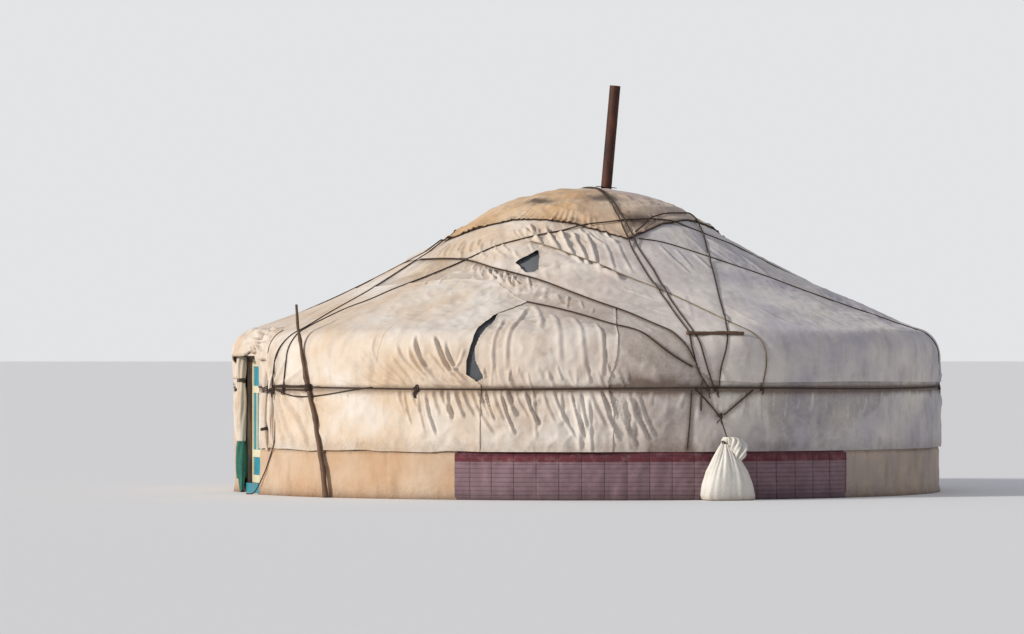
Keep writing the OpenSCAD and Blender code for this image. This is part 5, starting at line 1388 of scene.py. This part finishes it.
stick = tube("stick_in_lashing", stick_path, 0.0075 + 0.0008 * np.sin(stick_at * 70))
dress(stick, grey_stick)
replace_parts(stick, "leaning_pole")
# Rope turns that lash the pole to the girth rope, passed round it and crossed
LASHED_Z = EAVE + GIRTH_S
lashed_a = float(np.interp(LASHED_Z, pole_z, pole_a))
lashed_r = float(np.interp(LASHED_Z, pole_z, pole_r)) + 0.009
lash_mid = compass(lashed_a, lean_r + float(np.interp(LASHED_Z, pole_z, pole_o)), LASHED_Z)
lash_out, lash_side = compass(lashed_a, 1.0, 0.0), compass(lashed_a + 90, 1.0, 0.0)
turns = np.linspace(0, 2 * math.pi * 5, 150)
lash_rise = -0.035 + 0.07 * turns / turns[-1] + 0.012 * np.sin(turns + 0.6)
lash_path = (lash_mid + (lashed_r * np.cos(turns))[:, None] * lash_side
             + (lashed_r * np.sin(turns))[:, None] * lash_out + UP * lash_rise[:, None])
dress(tube("pole_lashing", lash_path, 0.0072, 6), dark_rope)
bar_low, bar_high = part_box("spreader_bar")
bar_z = (bar_low.z + bar_high.z) / 2
bar_mid = np.array([(bar_low.x + bar_high.x) / 2, (bar_low.y + bar_high.y) / 2])
BAR_AZIMUTH, BAR_HALF = 94, 0.318
bar_way = compass(BAR_AZIMUTH + 90, 1.0, 0.0)[:2]
bar_t = np.linspace(-BAR_HALF, BAR_HALF, 44)
bar_path = np.stack([bar_mid[0] + bar_t * bar_way[0], bar_mid[1] + bar_t * bar_way[1],
                     bar_z + 0.003 * np.sin(bar_t * 14)], 1)
bar_r = 0.0195 + 0.0016 * np.sin(bar_t * 37) + 0.001 * np.sin(bar_t * 90)
bar = tube("spreader_bar_wood", bar_path, bar_r, 12)
dress(bar, willow)
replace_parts(bar, "spreader_bar")

# ---------------------------------------------------------------- weight sack
# A woven plastic sack of stones, gathered and tied at the neck, with a frill of spare
# cloth above the tie that has fallen to one side. It hangs from the ropes and weighs them.
sack_low, sack_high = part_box("weight_sack")
SACK_AZIMUTH = 94.5
sack_mid = np.array([(sack_low.x + sack_high.x) / 2, (sack_low.y + sack_high.y) / 2])
outwards = compass(SACK_AZIMUTH, 1.0, 0.0)[:2]
sideways = compass(SACK_AZIMUTH + 90, 1.0, 0.0)[:2]
sack_rng = np.random.default_rng(61)
SIDES, RINGS = 120, 90
level = np.linspace(0, 1, RINGS)
# Share of the rings, height, half width, half depth, sideways lean of the middle
SACK = np.array([(0.0, 0.00, 0.235, 0.150, 0.0), (0.02, 0.012, 0.262, 0.165, 0.0),
                 (0.10, 0.05, 0.272, 0.170, 0.0), (0.30, 0.17, 0.258, 0.165, 0.0),
                 (0.50, 0.30, 0.215, 0.145, -0.005), (0.70, 0.43, 0.140, 0.105, -0.015),
                 (0.85, 0.53, 0.072, 0.062, -0.025), (0.95, 0.585, 0.036, 0.034, -0.030),
                 (1.0, 0.61, 0.030, 0.030, -0.032)])
height, half_w, half_d, lean = (np.interp(level, SACK[:, 0], SACK[:, k]) for k in (1, 2, 3, 4))
angle = np.linspace(0, 2 * math.pi, SIDES, endpoint=False)
aa, ll = np.meshgrid(angle, np.arange(RINGS))
up_share = level[ll]
pleats = np.zeros_like(aa)
for n in range(7):
    count = sack_rng.integers(9, 26)
    pleats += np.cos(count * aa + sack_rng.uniform(0, 6) + 0.8 * np.sin(3 * up_share + n))
depth = 0.022 + 0.150 * np.clip((up_share - 0.30) / 0.6, 0, 1) ** 1.3
dent = 0.045 * np.sin(3 * aa + 1.0 + 3 * up_share) + 0.028 * np.sin(5 * aa + 7 * up_share)
swell = 1 + depth * pleats / 2.6 + dent * np.clip(1.1 - up_share, 0, 1)
square = (np.abs(np.cos(aa)) ** 4 + np.abs(np.sin(aa)) ** 4) ** -0.25
boxy = np.clip(1 - up_share * 1.3, 0, 1)
roundness = square * boxy + (1 - boxy)
side_off = half_w[ll] * np.cos(aa) * swell * roundness + lean[ll]
deep_off = half_d[ll] * np.sin(aa) * swell * roundness


def at_sack(across, out, z):
    """Points beside the sack's middle: sideways, outwards and up."""
    return np.stack([sack_mid[0] + across * sideways[0] + out * outwards[0],
                     sack_mid[1] + across * sideways[1] + out * outwards[1], z], -1)


SACK_RADIUS = 0.24
sack_points = at_sack(side_off, deep_off, height[ll] + 0 * aa).reshape(-1, 3)
# Dirt at the foot, and painted shade in the deepest troughs of the pleats
sack_dirt_and_shade = 0.7 * np.exp(-height[ll] / 0.05) + 0.25 * (pleats < -1.5) * up_share
sack = piece("sack_woven_plastic", sack_points, ring_faces(RINGS, SIDES), {
    "laid": np.stack([(aa * SACK_RADIUS).ravel(), height[ll].ravel(), 0 * aa.ravel()], 1),
    "grime_and_shade": np.clip(sack_dirt_and_shade, 0, 1).ravel()})
# Side, outwards and height of the middle of the spare cloth, from the tie up and over
FRILL = [(-0.030, 0.0, 0.585), (-0.022, 0.010, 0.625), (0.004, 0.022, 0.655), (0.042, 0.036, 0.640),
         (0.076, 0.046, 0.590), (0.092, 0.052, 0.520), (0.094, 0.052, 0.450), (0.088, 0.048, 0.400)]
frill = bundle("sack_frill", [at_sack(*row) for row in FRILL],
               [0.030, 0.038, 0.052, 0.068, 0.080, 0.078, 0.056, 0.018], 5, 0.34, 62,
               turn=9.0, sides=56, rings=60, facing=SACK_AZIMUTH)
# White plastic, woven from flat ribbons: smoother than cotton, so it catches a soft shine.
# The ribbons are drawn 6 mm apart, coarser than they are.
RIBBON = 0.006
sack_cloth, tree = blank_material("white woven polypropylene")
laid = put(tree, "Attribute", whole=True, attribute_name="laid").outputs["Vector"]
dirt_and_shade_mask = put(tree, "Attribute", whole=True, attribute_name="grime_and_shade").outputs["Fac"]
cloudy = put(tree, "TexNoise", Vector=laid, Scale=9.0, Detail=5.0)
tone = put(tree, "MixRGB", Fac=cloudy, Color1=linear("#e9e5dc"), Color2=linear("#cfc7ba"))
# Dirt, and painted shade in the pleats, darken it
tone = put(tree, "MixRGB", blend_type="MULTIPLY", Fac=dirt_and_shade_mask, Color1=tone, Color2=linear("#8f7a63"))
warp, weft = (put(tree, "TexWave", Vector=laid, Scale=WAVE_PERIOD / RIBBON,
                  bands_direction=way) for way in "XY")
weave = put(tree, "MixRGB", Fac=0.5, Color1=warp, Color2=weft)
creases = put(tree, "TexNoise", Vector=laid, Scale=24.0, Detail=6.0, Distortion=0.8)
relief = put(tree, "Bump", Height=weave, Strength=0.25, Distance=0.001)
relief = put(tree, "Bump", Height=creases, Strength=0.5, Distance=0.006, Normal=relief)
surface(tree, Base_Color=tone, Roughness=0.55, Normal=relief)
for made in (sack, frill):
    dress(made, sack_cloth)
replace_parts(sack, "weight_sack")
NECK_R, NECK_OFF, NECK_Z = 0.033, 0.030, 0.585
neck_turns = np.linspace(0, 2 * math.pi * 4, 90)
neck = at_sack(NECK_R * np.cos(neck_turns) - NECK_OFF, NECK_R * np.sin(neck_turns),
               NECK_Z + 0.0012 * neck_turns)
dress(tube("sack_neck_tie", neck, LASHING_R, 6), dark_rope)

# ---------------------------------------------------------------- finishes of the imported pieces
# Lattice and poles of peeled willow, a turned-out crown of birch, sheep's wool felt, a
# painted pine door and a stove pipe of rusted sheet steel.
lattice_wood = wood_material("peeled willow lattice", "#b98a57", "#7a4d2b")
red_poles = wood_material("red painted roof poles", "#a8573a", "#7a3524", roughness=0.6)
crown_wood = wood_material("birch crown", "#b07a4a", "#6d4225", axis="X")

# Grey wool, pressed: its hairs keep it quite matt, with a soft edge
felt, tree = blank_material("sheep's wool felt")
where = put(tree, "TexCoord", whole=True).outputs["Object"]
matted = put(tree, "TexNoise", Vector=where, Scale=3.0, Detail=8.0, Roughness=0.7)
tone = put(tree, "MixRGB", Fac=matted, Color1=linear("#34373d"), Color2=linear("#686a6c"))
hairs = put(tree, "TexNoise", Vector=where, Scale=90.0, Detail=4.0)
relief = put(tree, "Bump", Height=hairs, Strength=0.7, Distance=0.006)
surface(tree, Base_Color=tone, Roughness=0.97, Sheen_Weight=0.3, Normal=relief)


# Set in from the canvas, thickness; the same for the strip on the ground, and its height
FELT_IN, FELT_THICK = 0.0046, 0.020
STRIP_IN, STRIP_THICK, STRIP_TOP = 0.0249, 0.0367, 0.16


def felt_wall(name, azimuths, rows, outer, thick, node):
    """Pressed felt: a sheet with two faces, thinner where it is drawn in beside the door."""
    aa, zz = (v.ravel() for v in np.meshgrid(azimuths, rows, indexing="ij"))
    pull = draw_in(aa, zz - EAVE)
    face = WALL_R - outer - pull + 0.0015 * drape(compass(aa, WALL_R, zz))
    back = np.maximum(face - thick * (1 - 0.62 * np.clip(pull / 0.04, 0, 1)),
                      WALL_R - outer - thick - pull)
    points = np.concatenate([compass(aa, face, zz), compass(aa, back, zz)])
    count, shape = len(aa), (len(azimuths), len(rows))
    index, quads = np.arange(count).reshape(shape), grid_quads(shape)
    rim = np.concatenate([index[:, 0], index[-1, 1:], index[-2::-1, -1], index[0, -2:0:-1]])
    ahead = np.roll(rim, -1)
    sides = np.stack([rim, rim + count, ahead + count, ahead], -1)
    made = piece(name, points, np.concatenate([quads, quads[:, ::-1] + count, sides]))
    dress(made, felt)
    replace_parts(made, node)


felt_rows = steps(0.0, 0.1, EAVE - 0.001)
felt_wall("felt_wall_by_door", steps(7.5, 0.8, 93.6), felt_rows, FELT_IN, FELT_THICK,
          "felt_wall_1")
felt_wall("felt_wall_far_side", steps(266.4, 0.8, 352.5), felt_rows, FELT_IN, FELT_THICK,
          "felt_wall_4")
felt_wall("felt_ground_strip", steps(9.0, 0.9, 351.0), steps(0.0, 0.05, STRIP_TOP), STRIP_IN,
          STRIP_THICK, "ground_strip")


def paint_material(name, colour, worn_colour, wear=0.62):
    """House paint on pine, brushed along the boards, dulled by sun and worn to the wood
    where hands and weather reach it."""
    made, tree = blank_material(name)
    where = put(tree, "TexCoord", whole=True).outputs["Object"]
    brushed = put(tree, "Mapping", Vector=where, Scale=(1, 1, 0.08))
    strokes = put(tree, "TexNoise", Vector=brushed, Scale=60.0, Detail=4.0)
    faded = put(tree, "TexNoise", Vector=where, Scale=6.0, Detail=6.0, Roughness=0.65)
    tone = put(tree, "MixRGB", blend_type="OVERLAY", Fac=0.35, Color1=linear(colour), Color2=faded)
    bare = put(tree, "TexNoise", Vector=brushed, Scale=22.0, Detail=8.0, Roughness=0.75)
    bare = put(tree, "MapRange", Value=bare, From_Min=wear, From_Max=wear + 0.06, To_Max=0.85)
    tone = put(tree, "MixRGB", Fac=bare, Color1=tone, Color2=linear(worn_colour))
    relief = put(tree, "Bump", Height=strokes, Strength=0.25, Distance=0.001)
    surface(tree, Base_Color=tone, Roughness=0.5, Normal=relief)
    return made


cream_paint = paint_material("cream oil paint on pine", "#d9cfae", "#8d6f4b")
# The door frame's dark brown is painted shade for the shaded reveal of the doorway, worn to lighter
# wood in patches
jamb_paint_dark_as_shade = paint_material("brown pine paint darkened as painted shade", "#4a3b30", "#77604a", wear=0.5)
teal_paint = paint_material("teal oil paint on pine", "#2a8a9c", "#7c8f80")
sill_paint = paint_material("teal sill paint", "#2c8290", "#6d6a58", wear=0.55)

# Sheet steel rusted through its scale, dull brown in patches and sooty above
rust, tree = blank_material("rusted sheet steel")
where = put(tree, "TexCoord", whole=True).outputs["Object"]
run_down = put(tree, "Mapping", Vector=where, Scale=(1, 1, 0.35))
patches = put(tree, "TexNoise", Vector=run_down, Scale=9.0, Detail=9.0, Roughness=0.7)
patches = put(tree, "MapRange", Value=patches, From_Min=0.38, From_Max=0.66)
tone = put(tree, "MixRGB", Fac=patches, Color1=linear("#35211b"), Color2=linear("#663a28"))
sooty = put(tree, "TexNoise", Vector=where, Scale=3.0, Detail=4.0)
sooty = put(tree, "MapRange", Value=sooty, From_Min=0.45, From_Max=0.7, To_Max=0.7)
tone = put(tree, "MixRGB", Fac=sooty, Color1=tone, Color2=linear("#2b1d18"))
scale_bumps = put(tree, "TexNoise", Vector=where, Scale=120.0, Detail=4.0)
relief = put(tree, "Bump", Height=scale_bumps, Strength=0.5, Distance=0.002)
surface(tree, Base_Color=tone, Roughness=0.7, Metallic=0.35, Normal=relief)

# Iron rubbed by hands: dark, with a low metal shine
iron, tree = blank_material("dark forged iron")
where = put(tree, "TexCoord", whole=True).outputs["Object"]
handled = put(tree, "TexNoise", Vector=where, Scale=70.0, Detail=4.0)
tone = put(tree, "MixRGB", Fac=handled, Color1=linear("#2a2622"), Color2=linear("#4b4038"))
surface(tree, Base_Color=tone, Roughness=0.45, Metallic=0.9)

FINISHES = {
    "lattice_wall_": lattice_wood, "roof_poles_": red_poles, "crown_ring": crown_wood,
    "crown_bars": crown_wood, "door_frame": jamb_paint_dark_as_shade, "door_threshold": sill_paint,
    "door_leaf": cream_paint, "door_panels": teal_paint, "door_handle": iron,
    "ground_strip": felt, "felt_": felt, "stove_pipe": rust, "pipe_collar": rust}
for node_name, node in frame["nodes"].items():
    for start, material in FINISHES.items():
        if node_name.startswith(start):
            node.data.materials.clear()
            node.data.materials.append(material)
